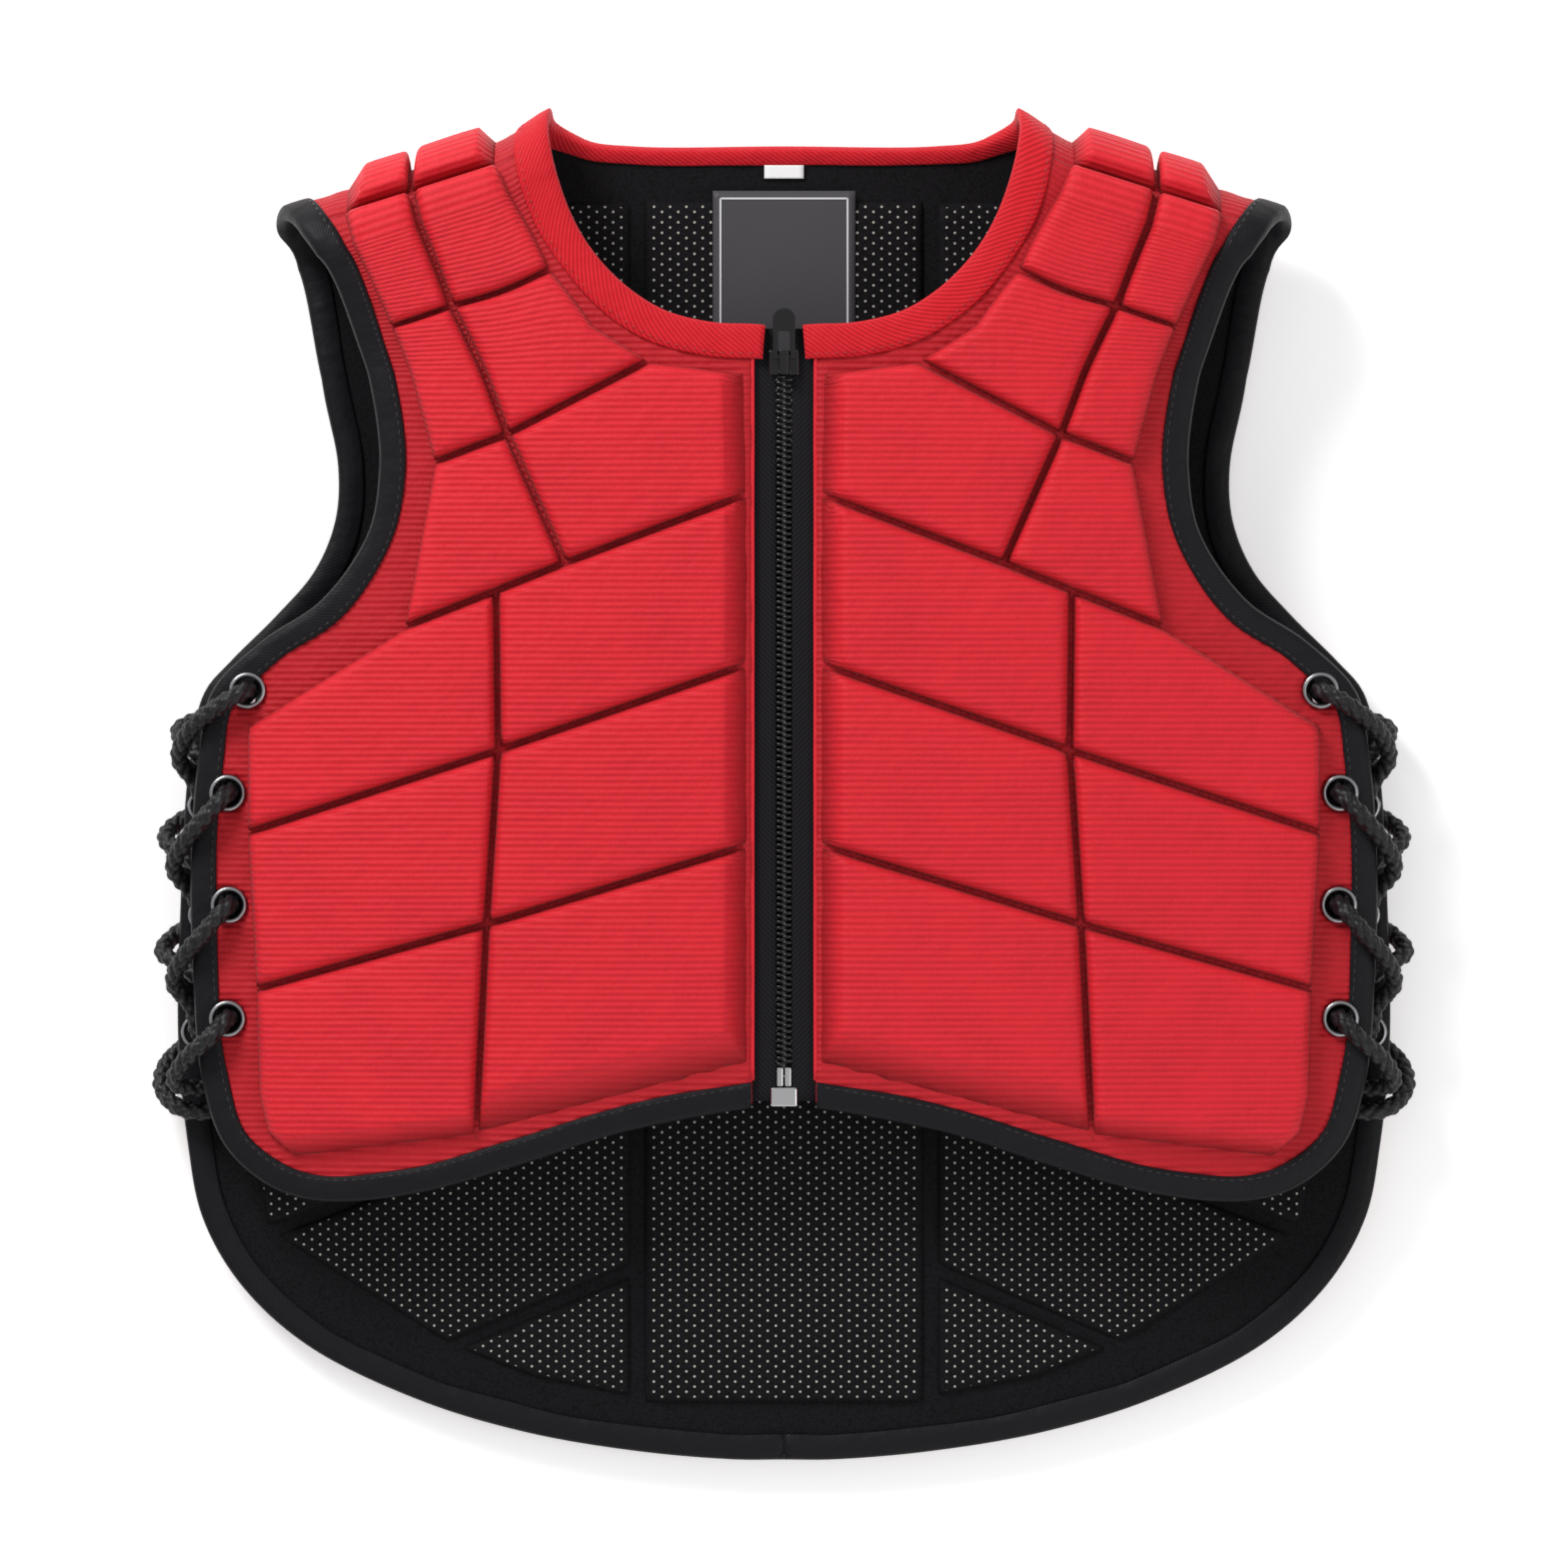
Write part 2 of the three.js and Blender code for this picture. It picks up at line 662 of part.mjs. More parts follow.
function backPads() {
  const seams = backSeams.map((row) => ({
    outer: onBack(row.outer),
    seam: onBack(row.seam),
    inner: onBack(row.inner),
  }));
  const corner = Object.fromEntries(Object.entries(backCorners).map(([name, p]) => [name, onBack(p)]));
  const top = (share) => new THREE.Vector2(share * halfWidth, -backReach);
  const half = [
    [top(strapPads.arm), top(strapPads.seam), seams[0].seam, seams[0].outer],
    [top(strapPads.seam), top(strapPads.neck), corner.neck, seams[0].inner, seams[0].seam],
  ];
  for (let i = 1; i < seams.length; i += 1) {
    const above = seams[i - 1];
    const below = seams[i];
    const side = i === 3 ? [corner.side, corner.armhole] : [];
    half.push([above.outer, above.seam, below.seam, below.outer, ...side]);
    half.push([above.seam, above.inner, below.inner, below.seam]);
  }
  const last = seams[seams.length - 1];
  half.push([corner.tailSeam, last.inner, last.seam, last.outer, corner.tailSide]);
  half.push([corner.tailSeam, corner.tailSide, corner.tailLow, corner.tailFoot]);
  const column = [];
  for (let i = 1; i < columnSeams.length; i += 1) {
    const ends = [columnSeams[i - 1], columnSeams[i]].map((up) => onBack({ out: columnHalf, up }));
    column.push([
      ends[0],
      new THREE.Vector2(-ends[0].x, ends[0].y),
      new THREE.Vector2(-ends[1].x, ends[1].y),
      ends[1],
    ]);
  }
  return [...half, ...half.map(mirrored), ...column];
}

function strapOutline() {
  const points = [
    strapPoint('neck', 0),
    strapPoint('neck', 1),
    strapPoint('neck', 2),
    strapPoint('arm', 2),
    strapPoint('arm', 1),
    strapPoint('arm', 0),
  ];
  return insetOutline(points, [underTape, underTape, panelGap / 2, underTape, underTape, panelGap / 2]);
}

function strapPadList() {
  const line = [strapPads.neck, strapPads.seam, strapPads.arm].map((share) => share * halfWidth);
  const block = (from, to) => [
    new THREE.Vector2(from, frontReach),
    new THREE.Vector2(to, frontReach),
    new THREE.Vector2(to, -backReach),
    new THREE.Vector2(from, -backReach),
  ];
  return [block(line[0], line[1]), block(line[1], line[2])];
}

const sunk = sheetThickness / 2;
const padsOn = (list) => list.map((outline) => padBlock(outline, sunk, padTop, padDraft));
const liningPadsOn = (list) => list.map((outline) => padBlock(
  outline,
  liningSkin + liningThickness / 2,
  liningSkin - liningRise,
  liningDraft,
));
const eyeletCentres = {
  front: frontEyelets.map(onFront),
  back: backEyelets.flatMap((point) => {
    const p = onBack(point);
    return [p, new THREE.Vector2(-p.x, p.y)];
  }),
};
const drillRadius = eyeletOuterRadius + eyeletGap;
const drillDepth = padTop * 2;

const liningZipInset = zipTapeUnder + seatGap;
const frontShell = joinAll([slab(frontOutline(0), 0, sheetThickness), ...padsOn(frontPads())]);
const frontLining = toSolid(slab(frontOutline(liningZipInset), liningSkin, liningBase));
const backShell = joinAll([slab(backOutline(), 0, sheetThickness), ...padsOn(backPads())]);
const backLining = joinAll([slab(backOutline(), liningSkin, liningBase), ...liningPadsOn(backPads())]);
const strapShell = joinAll([slab(strapOutline(), 0, sheetThickness), ...padsOn(strapPadList())]);
const strapLining = toSolid(slab(strapOutline(), liningSkin, liningBase));

addMesh('back_panel', laid(drill(backShell, eyeletCentres.back, drillRadius, drillDepth)), 'padCloth');
addMesh('back_lining', laid(drill(backLining, eyeletCentres.back, drillRadius, drillDepth)), 'lining');
addPair('front_panel', laid(drill(frontShell, eyeletCentres.front, drillRadius, drillDepth)), 'padCloth');
addPair('front_lining', laid(drill(frontLining, eyeletCentres.front, drillRadius, drillDepth)), 'lining');
addPair('shoulder_strap', laid(strapShell), 'padCloth');
addPair('shoulder_lining', laid(strapLining), 'lining');

// Binding tape folded over an edge: outside and inside are the widths of its two legs
function tapeSection(outside, inside) {
  const high = sheetThickness + tapeGap;
  const low = liningSkin - tapeGap;
  return [
    [inside, low - tapeThickness],
    [0, low - tapeThickness],
    [0, high + tapeThickness],
    [outside, high + tapeThickness],
    [outside, high],
    [tapeThickness, high],
    [tapeThickness, low],
    [inside, low],
  ].map(([depth, h]) => new THREE.Vector2(depth, h)).reverse();
}

// Sweeps the section along a line on the cloth, the cloth lying to the right of the line's direction
function foldedTape(line, section) {
  const count = section.length;
  const normals = line.map((p, i) => {
    const before = line[i - 1] ? p.clone().sub(line[i - 1]) : null;
    const after = line[i + 1] ? line[i + 1].clone().sub(p) : null;
    const sides = [before, after]
      .filter(Boolean)
      .map((v) => new THREE.Vector2(v.y, -v.x).normalize());
    const middle = sides.reduce((sum, v) => sum.add(v), new THREE.Vector2()).normalize();
    return middle.divideScalar(middle.dot(sides[0]));
  });
  const positions = line.flatMap((p, i) => section.flatMap((q) => {
    const at = p.clone().addScaledVector(normals[i], q.x);
    return [at.x, at.y, q.y];
  }));
  const faces = [];
  for (let i = 0; i + 1 < line.length; i += 1) {
    for (let j = 0; j < count; j += 1) {
      const a = i * count + j;
      const b = i * count + ((j + 1) % count);
      faces.push(a, b, a + count, b, b + count, a + count);
    }
  }
  const last = (line.length - 1) * count;
  for (const [a, b, c] of THREE.ShapeUtils.triangulateShape(section, [])) {
    faces.push(a, c, b, last + a, last + b, last + c);
  }
  const geometry = new THREE.BufferGeometry();
  geometry.setAttribute('position', new THREE.Float32BufferAttribute(positions, 3));
  geometry.setIndex(faces);
  const solid = toSolid(geometry);
  return solid.volume() > 0 ? solid : toSolid(mirrorIndex(geometry));
}

function mirrorIndex(geometry) {
  const index = [...geometry.index.array];
  for (let i = 0; i < index.length; i += 3) [index[i + 1], index[i + 2]] = [index[i + 2], index[i + 1]];
  geometry.setIndex(index);
  return geometry;
}

// Carries a line on past its last point
function overrun(line) {
  const [before, last] = line.slice(-2);
  return [...line, last.clone().add(last.clone().sub(before).setLength(tapeOverrun))];
}

const frontStrip = 4 * halfLength;
const zipOpening = box(2 * zipEdge, frontStrip, 2 * foldHeight, 0, frontStrip / 2, 0);

const strapLine = (edge) => [0, 1, 2].map((step) => strapPoint(edge, step));
const endGap = new THREE.Vector2(panelGap / 2, 0);
const blackLine = [
  ...overrun(frontHemLine).reverse(),
  ...frontArmLine.slice().reverse(),
  ...strapLine('arm'),
  ...backArmLine,
  ...backHemLine.slice(0, -1),
  backHemLine[backHemLine.length - 1].clone().add(endGap),
];
const redHalf = [
  ...overrun(frontNeckLine.slice().reverse()).reverse(),
  ...strapLine('neck'),
  ...backNeckLine.slice(1).reverse(),
];
const redLine = [
  ...redHalf,
  backNeckLine[0],
  ...redHalf.map((p) => new THREE.Vector2(-p.x, p.y)).reverse(),
];
const blackSection = tapeSection(edgeTapeWidth, edgeTapeWidth);
const redSection = tapeSection(neckTapeWidth, neckTapeInside);
const blackTape = foldedTape(blackLine, blackSection).subtract(zipOpening);
const redTape = foldedTape(redLine.slice().reverse(), redSection).subtract(zipOpening);
const allEyelets = [...eyeletCentres.front, ...eyeletCentres.back.filter((p) => p.x > 0)];
addPair('edge_binding', laid(drill(blackTape, allEyelets, drillRadius, drillDepth)), 'blackTape');
addMesh('neck_binding', laid(redTape), 'neckTape');

// Eyelets: rolled rings right through the tape, panel and lining
const stackHigh = sheetThickness + tapeGap + tapeThickness + eyeletProud;
const stackLow = liningSkin - tapeGap - tapeThickness - eyeletProud;
function eyelet(centre) {
  const profile = [
    new THREE.Vector2(eyeletHoleRadius, stackLow),
    new THREE.Vector2(eyeletOuterRadius, stackLow),
    new THREE.Vector2(eyeletOuterRadius, stackHigh),
    new THREE.Vector2(eyeletHoleRadius, stackHigh),
    new THREE.Vector2(eyeletHoleRadius, stackLow),
  ];
  const ring = new THREE.LatheGeometry(profile, eyeletSides);
  ring.rotateX(Math.PI / 2);
  ring.translate(centre.x, centre.y, 0);
  const merged = soft(ring);
  const positions = merged.attributes.position;
  const fixed = toSolid(merged).volume() > 0 ? merged : mirrorIndex(merged);
  for (let i = 0; i < positions.count; i += 1) {
    const at = place(positions.getX(i), positions.getY(i), positions.getZ(i));
    positions.setXYZ(i, at[0], at[1], at[2]);
  }
  return mirrorIndex(fixed);
}
frontEyelets.forEach((point, i) => addPair(`front_eyelet_${i + 1}`, eyelet(onFront(point)), 'blackMetal'));
backEyelets.forEach((point, i) => addPair(`back_eyelet_${i + 1}`, eyelet(onBack(point)), 'blackMetal'));

// Laces: one ring of the cord at each point of the route
function lace() {
  const points = laceRoute.map((p) => new THREE.Vector3(p.out, p.y, p.z));
  const route = new THREE.CatmullRomCurve3(points, false, 'centripetal');
  route.getUtoTmapping = (u) => u;
  const section = new THREE.Shape(Array.from({ length: laceSides }, (_, i) => {
    const angle = (i / laceSides) * Math.PI * 2;
    return new THREE.Vector2(Math.cos(angle), Math.sin(angle)).multiplyScalar(laceDiameter / 2);
  }));
  return soft(new THREE.ExtrudeGeometry(section, {
    steps: laceRoute.length - 1,
    extrudePath: route,
    bevelEnabled: false,
  }));
}
addPair('lace', lace(), 'cord');

// Zip: tapes sewn under the front edges, the closed chain, slider, pull, pins and box
const zipTapeTop = frontNeck[0].up * halfLength - zipTapeBelowNeck;
const sliderTop = zipTapeTop - sliderBelowTape;
const chainEnd = frontHem[frontHem.length - 1].up * halfLength + chainAboveHem;
const yOnZip = (y) => onFront({ out: 0, up: y / halfLength }).y;
const zipTapeHigh = -seatGap;
const zipTapeLow = zipTapeHigh - zipTapeThickness;
const chainMiddle = (zipTapeHigh + zipTapeLow) / 2;
const neckTapeFoot = frontNeck[0].up * halfLength - neckTapeWidth - seatGap;
const hemTapeTop = frontHem[frontHem.length - 1].up * halfLength + edgeTapeWidth + seatGap;

const zipTapeFoot = hemTapeTop + zipTapeFootRise;

function onZip(points) {
  return points.map(([x, y]) => onFront({ out: x / halfWidth, up: y / halfLength }));
}

function zipTape() {
  const inside = chainWidth / 2 + chainGap;
  const outside = zipEdge + zipTapeUnder;
  const between = zipEdge - seatGap;
  return toSolid(slab(onZip([
    [inside, zipTapeTop],
    [between, zipTapeTop],
    [between, neckTapeFoot],
    [outside, neckTapeFoot],
    [outside, zipTapeFoot],
    [between, zipTapeFoot],
    [between, chainEnd],
    [inside, chainEnd],
  ]), zipTapeLow, zipTapeHigh));
}
addPair('zip_tape', laid(zipTape()), 'zipTape');

const dividerLength = sliderLength / 2;
const chainTop = sliderTop - dividerLength - chainGap;
const chain = slab(onZip([
  [-chainWidth / 2, chainTop],
  [chainWidth / 2, chainTop],
  [chainWidth / 2, chainEnd],
  [-chainWidth / 2, chainEnd],
]), chainMiddle - chainThickness / 2, chainMiddle + chainThickness / 2);
addMesh('zip_chain', laid(toSolid(chain)), 'blackMetal');

function zipHeight(y) {
  return place(0, yOnZip(y), chainMiddle)[2];
}

const sliderMiddle = sliderTop - sliderLength / 2;
const sliderZ = zipHeight(sliderMiddle);
const channelHeight = chainThickness + 2 * chainGap;
const sliderHeight = channelHeight + 2 * sliderPlate;
const sliderFace = sliderZ + sliderHeight / 2;
const pivotZ = sliderFace + bridgeOpening / 2;
const pivotY = sliderTop - bridgeBar - bridgeOpening / 2;

function slider() {
  const body = box(sliderWidth, sliderLength, sliderHeight, 0, sliderMiddle, sliderZ);
  const channel = box(
    sliderWidth + 2 * cutPast,
    sliderLength + 2 * cutPast,
    channelHeight,
    0,
    sliderMiddle,
    sliderZ,
  );
  const divider = box(dividerWidth, dividerLength, sliderHeight, 0, sliderTop - dividerLength / 2, sliderZ);
  const bridgeY = sliderTop - bridgeLength / 2;
  const bridgeTop = sliderFace + bridgeOpening + bridgeBar;
  const bridgeFoot = sliderFace - sliderPlate / 2;
  const bridgeMiddle = (bridgeTop + bridgeFoot) / 2;
  const arch = box(bridgeWidth, bridgeLength, bridgeTop - bridgeFoot, 0, bridgeY, bridgeMiddle);
  const gap = box(
    bridgeWidth + 2 * cutPast,
    bridgeLength - 2 * bridgeBar,
    bridgeOpening,
    0,
    bridgeY,
    sliderFace + bridgeOpening / 2,
  );
  return body.subtract(channel).add(divider).add(arch.subtract(gap));
}
addMesh('zip_slider', toGeometry(slider()), 'blackMetal');

function pull() {
  const half = pullWidth / 2;
  const outline = new THREE.Shape();
  outline.moveTo(-half, -pullThickness / 2);
  outline.lineTo(half, -pullThickness / 2);
  outline.lineTo(half, pullLength - half);
  outline.absarc(0, pullLength - half, half, 0, Math.PI, false);
  const slot = new THREE.Path();
  slot.moveTo(-pullSlotWidth / 2, pullThickness / 2);
  slot.lineTo(-pullSlotWidth / 2, pullSlotLength);
  slot.lineTo(pullSlotWidth / 2, pullSlotLength);
  slot.lineTo(pullSlotWidth / 2, pullThickness / 2);
  outline.holes.push(slot);
  const geometry = new THREE.ExtrudeGeometry(outline, {
    depth: pullThickness,
    bevelEnabled: false,
    curveSegments: 10,
  });
  geometry.translate(0, pivotY, pivotZ - pullThickness / 2);
  return soft(geometry);
}
addMesh('zip_pull', pull(), 'blackMetal');

const pinBottom = chainEnd - chainGap - pinLength;
const pinTop = chainEnd - chainGap;
const pinZ = zipHeight((pinTop + pinBottom) / 2);
const pinX = pinWidth / 2 + chainGap;
for (const [side, sign] of [['left', 1], ['right', -1]]) {
  const pin = box(pinWidth, pinLength, chainThickness, sign * pinX, (pinTop + pinBottom) / 2, pinZ);
  addMesh(`zip_pin_${side}`, toGeometry(pin), 'silver');
}
const boxTop = pinBottom - seatGap;
const zipBoxY = boxTop - zipBoxLength / 2;
const zipBox = box(zipBoxWidth, zipBoxLength, zipBoxThickness, 0, zipBoxY, zipHeight(boxTop));
addMesh('zip_box', toGeometry(zipBox), 'silver');

// Label patch and neck tag, flat on the back lining
function patch(width, length, top, skin) {
  const outline = [[-1, 0], [1, 0], [1, -length], [-1, -length]].map(([side, drop]) => onBack({
    out: (side * width) / 2 / halfWidth,
    up: (top + drop) / halfLength,
  }));
  return laid(toSolid(slab(outline, skin - seatGap - labelThickness, skin - seatGap)));
}
const labelTop = backNeck[0].up * halfLength - labelBelowNeck;
const tagTop = place(0, backNeckLine[0].y - neckTapeInside - seatGap, 0)[1];
addMesh('label_patch', patch(labelWidth, labelLength, labelTop, liningSkin - liningRise), 'label');
addMesh('neck_tag', patch(tagWidth, tagLength, tagTop, liningSkin), 'tag');

// The origin is under the middle of the vest
const middle = new THREE.Box3().setFromObject(group).getCenter(new THREE.Vector3());
group.position.y = -middle.y;

export default group;
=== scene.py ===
# Equestrian body protector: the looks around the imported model. Lengths are in millimetres until the
# last step of each piece, which turns them to metres. The cloth is drawn flat first: x runs across the
# body, t along the cloth from the top of the shoulder fold (front positive) and h outwards.
import math

import bmesh
import bpy
import numpy as np
from mathutils import Matrix, Vector


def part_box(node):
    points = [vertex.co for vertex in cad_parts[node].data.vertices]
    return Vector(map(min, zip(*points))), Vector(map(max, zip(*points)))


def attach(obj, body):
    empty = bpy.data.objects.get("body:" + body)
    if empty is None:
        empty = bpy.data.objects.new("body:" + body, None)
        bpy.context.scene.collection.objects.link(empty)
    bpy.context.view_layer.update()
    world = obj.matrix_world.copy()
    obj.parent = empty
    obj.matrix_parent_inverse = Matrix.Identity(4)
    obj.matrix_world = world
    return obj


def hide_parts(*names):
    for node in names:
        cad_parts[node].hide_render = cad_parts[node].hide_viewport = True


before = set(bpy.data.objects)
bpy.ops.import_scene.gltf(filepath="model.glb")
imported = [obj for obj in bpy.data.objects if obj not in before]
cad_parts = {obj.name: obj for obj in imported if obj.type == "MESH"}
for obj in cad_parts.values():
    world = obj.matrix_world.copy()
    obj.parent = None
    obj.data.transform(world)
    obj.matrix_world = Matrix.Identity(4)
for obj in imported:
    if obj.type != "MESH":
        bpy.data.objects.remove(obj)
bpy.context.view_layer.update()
mm = 0.001
sides = ("left", "right")

cloth = {
    "halfWidth": 237.5,
    "halfLength": 266,
    "sheet": 2,
    "padTop": 11,
    "foldRadius": 22,
    "frontReach": 22,
    "backReach": 14,
    "chestRise": 4,
    "frontDrop": 20,
    "edgeLift": 5,
    "liningHigh": -0.4,
    "liningLow": -1.6,
    "levelUp": 0.6,
    "levelReach": 0.3,
    "zipEdge": 12.4,
}
halfWidth = cloth["halfWidth"]
halfLength = cloth["halfLength"]
quarterArc = cloth["foldRadius"] * math.pi / 2
foldHeight = cloth["padTop"] + cloth["foldRadius"]
levelY = cloth["levelUp"] * halfLength
levelReach = cloth["levelReach"] * halfLength

# Shares of halfWidth across, and the shoulder line's height, the front's drop and the back's lift there
acrossRows = {
    "across": [0, 0.37, 0.46, 0.7, 1.05],
    "top": [1.034, 1.034, 0.98, 0.912, 0.82],
    "drop": [0, 0.1, 0.18, 0.5, 1],
    "lift": [0, 0, 0, 0, 1],
}


def ease(share):
    share = np.clip(share, 0, 1)
    return share * share * (3 - 2 * share)


def acrossRow(x, name, spread):
    share = np.abs(x) / halfWidth
    taps = np.linspace(-spread, spread, 5)
    return sum(np.interp(share + tap, acrossRows["across"], acrossRows[name]) for tap in taps) / 5


def foldCentre(x):
    return acrossRow(x, "top", 0.025) * halfLength - foldHeight


def bend(points):
    # The cloth's flat x, t and h become the worn shape's x, y and z
    x, t, h = np.asarray(points, float).T
    centre = foldCentre(x)
    beyond = np.abs(t) - quarterArc
    radius = cloth["foldRadius"] + h
    angle = t / cloth["foldRadius"]
    flatY = np.where(
        beyond < levelReach,
        centre + (levelY - centre) * beyond / levelReach,
        levelY - (beyond - levelReach),
    )
    spread = ease(beyond / levelReach)
    rise = ease(beyond / levelReach) - 2 * ease((beyond / halfLength - 0.3) / 1.9)
    drop = acrossRow(x, "drop", 0.08) * cloth["frontDrop"]
    lift = acrossRow(x, "lift", 0.08) * cloth["edgeLift"]
    front = foldHeight + cloth["foldRadius"] + rise * cloth["chestRise"] - spread * drop + h
    back = cloth["padTop"] + spread * lift - h
    inFold = beyond < 0
    y = np.where(inFold, centre + radius * np.cos(angle), flatY)
    z = np.where(inFold, foldHeight + radius * np.sin(angle), np.where(t > 0, front, back))
    return np.stack([x, y, z], axis=1)


def pattern(out, up, face):
    # A point seen from above, in shares, becomes x and t on the cloth; face is 1 in front, -1 behind
    x = out * halfWidth
    y = up * halfLength
    centre = float(foldCentre(np.array([x]))[0])
    t = cloth["foldRadius"] * math.acos(min(1, max(0, (y - centre) / (cloth["foldRadius"] + 2))))
    if y <= centre:
        t = quarterArc + levelReach * (centre - y) / (centre - levelY)
    if y <= levelY:
        t = quarterArc + levelReach + levelY - y
    return (x, face * t)


def onFront(points):
    return [pattern(out, up, 1) for out, up in points]


def onBack(points):
    return [pattern(out, up, -1) for out, up in points]


# Edges seen from above, in shares of halfWidth and halfLength
frontNeck = onFront([(0.052, 0.671), (0.12, 0.674), (0.204, 0.695), (0.287, 0.751), (0.347, 0.83)])
frontArmhole = onFront([
    (0.752, 0.76), (0.7, 0.648), (0.666, 0.522), (0.663, 0.457),
    (0.681, 0.368), (0.757, 0.27), (0.856, 0.21), (0.94, 0.135),
])
frontHem = onFront([
    (0.962, 0.04), (0.975, -0.12), (0.97, -0.315), (0.957, -0.434), (0.92, -0.53), (0.845, -0.59),
    (0.762, -0.611), (0.608, -0.6), (0.426, -0.555), (0.269, -0.51), (0.052, -0.473),
])
backNeck = onBack([(0, 0.945), (0.25, 0.945), (0.33, 0.955)])
backArmhole = onBack([
    (0.809, 0.776), (0.765, 0.59), (0.739, 0.469), (0.744, 0.389),
    (0.778, 0.315), (0.841, 0.249), (0.916, 0.182), (0.96, 0.135),
])
backHem = onBack([
    (0.985, 0.03), (1, -0.196), (1.003, -0.38), (0.987, -0.534), (0.963, -0.641), (0.901, -0.739),
    (0.791, -0.83), (0.608, -0.911), (0.426, -0.96), (0.24, -0.988), (0.08, -1), (0, -1),
])
strapNeck = [(0.385, 22), (0.382, 0), (0.375, -14)]
strapArm = [(0.793, 22), (0.83, 0), (0.838, -14)]
strapPads = {"neck": 0.468, "seam": 0.611, "arm": 0.722}

# Sewn lines across: the armhole's end, the upright seam and the middle's end of each
frontSeams = [
    onFront([(0.645, 0.667), (0.543, 0.697), (0.379, 0.751)]),
    onFront([(0.574, 0.469), (0.452, 0.51), (0.219, 0.618)]),
    onFront([(0.624, 0.228), (0.358, 0.322), (0.055, 0.424)]),
    onFront([(0.883, -0.072), (0.467, 0.049), (0.055, 0.176)]),
    onFront([(0.869, -0.301), (0.486, -0.205), (0.055, -0.088)]),
    onFront([(0.8, -0.551), (0.504, -0.518), (0.055, -0.413)]),
]
frontCorners = dict(zip(
    ["neckMiddle", "neckZip", "lowerSeamTop", "side", "hemSide", "hemTurn"],
    onFront([(0.308, 0.669), (0.06, 0.6), (0.47, 0.282), (0.883, 0.085), (0.865, -0.455), (0.85, -0.513)]),
))
backSeams = [
    onBack([(0.718, 0.746), (0.562, 0.802), (0.245, 0.868)]),
    onBack([(0.66, 0.549), (0.51, 0.603), (0.245, 0.677)]),
    onBack([(0.66, 0.327), (0.507, 0.386), (0.245, 0.462)]),
    onBack([(0.905, 0.033), (0.514, 0.159), (0.245, 0.24)]),
    onBack([(0.895, -0.189), (0.527, -0.069), (0.245, 0.009)]),
    onBack([(0.915, -0.435), (0.53, -0.312), (0.245, -0.223)]),
    onBack([(0.862, -0.665), (0.516, -0.548), (0.245, -0.455)]),
]
backCorners = dict(zip(
    ["neck", "armhole", "side", "tailSide", "tailSeam", "tailLow", "tailFoot"],
    onBack([
        (0.4, 0.862), (0.745, 0.212), (0.86, 0.113), (0.56, -0.835),
        (0.245, -0.716), (0.42, -0.885), (0.245, -0.915),
    ]),
))
columnHalf = 0.241
columnSeams = [0.872, 0.031, -0.45, -0.924]
frontEyelets = onFront([(0.88, 0.137), (0.913, -0.013), (0.911, -0.177), (0.914, -0.344)])
backEyelets = onBack([(0.897, 0.127), (0.957, -0.032), (0.957, -0.193), (0.968, -0.366)])


def smoothLine(points, step):
    # A smooth curve through the points, with a point about every step
    line = np.array(points, float)
    padded = np.vstack([2 * line[0] - line[1], line, 2 * line[-1] - line[-2]])
    pieces = []
    for i in range(1, len(padded) - 2):
        a, b, c, d = padded[i - 1:i + 3]
        count = max(1, round(float(np.linalg.norm(c - b)) / step))
        s = np.linspace(0, 1, count, endpoint=False)[:, None]
        near = np.sqrt(np.linalg.norm(b - a)) + 1e-6
        along = np.sqrt(np.linalg.norm(c - b)) + 1e-6
        far = np.sqrt(np.linalg.norm(d - c)) + 1e-6
        leave = ((b - a) / near - (c - a) / (near + along) + (c - b) / along) * along
        reach = ((c - b) / along - (d - b) / (along + far) + (d - c) / far) * along
        pieces.append(
            (2 * s**3 - 3 * s**2 + 1) * b + (s**3 - 2 * s**2 + s) * leave
            + (3 * s**2 - 2 * s**3) * c + (s**3 - s**2) * reach
        )
    return np.vstack(pieces + [line[-1:]])


def runLength(line):
    # How far along the line each of its points is
    return np.append(0, np.cumsum(np.linalg.norm(np.diff(line, axis=0), axis=1)))


def strapPoint(share, t):
    return (share * halfWidth, t)


def strapLine(rows):
    return [strapPoint(share, t) for share, t in rows]


print("camera and light")
camera = {"height": 3.2, "spanMm": 610, "sensor": 36}
cameraData = bpy.data.cameras.new("camera")
cameraData.sensor_width = camera["sensor"]
cameraData.lens = camera["sensor"] * (camera["height"] - 0.05) / (camera["spanMm"] * mm)
cameraObject = bpy.data.objects.new("camera", cameraData)
cameraObject.location = (0, 0, camera["height"])
bpy.context.collection.objects.link(cameraObject)
bpy.context.scene.camera = cameraObject
bpy.context.scene.view_settings.view_transform = "Standard"


def addLight(name, place, size, watts):
    data = bpy.data.lights.new(name, "AREA")
    data.size = size
    data.energy = watts
    light = bpy.data.objects.new(name, data)
    light.location = place
    light.rotation_euler = (-Vector(place)).to_track_quat("-Z", "Y").to_euler()
    bpy.context.collection.objects.link(light)


addLight("keyLight", (-1.2, 1.7, 1.4), 0.8, 42)
addLight("fillLight", (1.6, -0.6, 1.9), 1.6, 12)
addLight("rimLight", (0.3, -2.0, 1.0), 1.2, 6)


def toLinear(hexText):
    shades = [int(hexText[i:i + 2], 16) / 255 for i in (1, 3, 5)]
    return [s / 12.92 if s <= 0.04045 else ((s + 0.055) / 1.055) ** 2.4 for s in shades] + [1]


world = bpy.data.worlds.new("studio")
world.use_nodes = True
world.node_tree.nodes["Background"].inputs["Color"].default_value = toLinear("#FFFFFF")
world.node_tree.nodes["Background"].inputs["Strength"].default_value = 0.52
bpy.context.scene.world = world


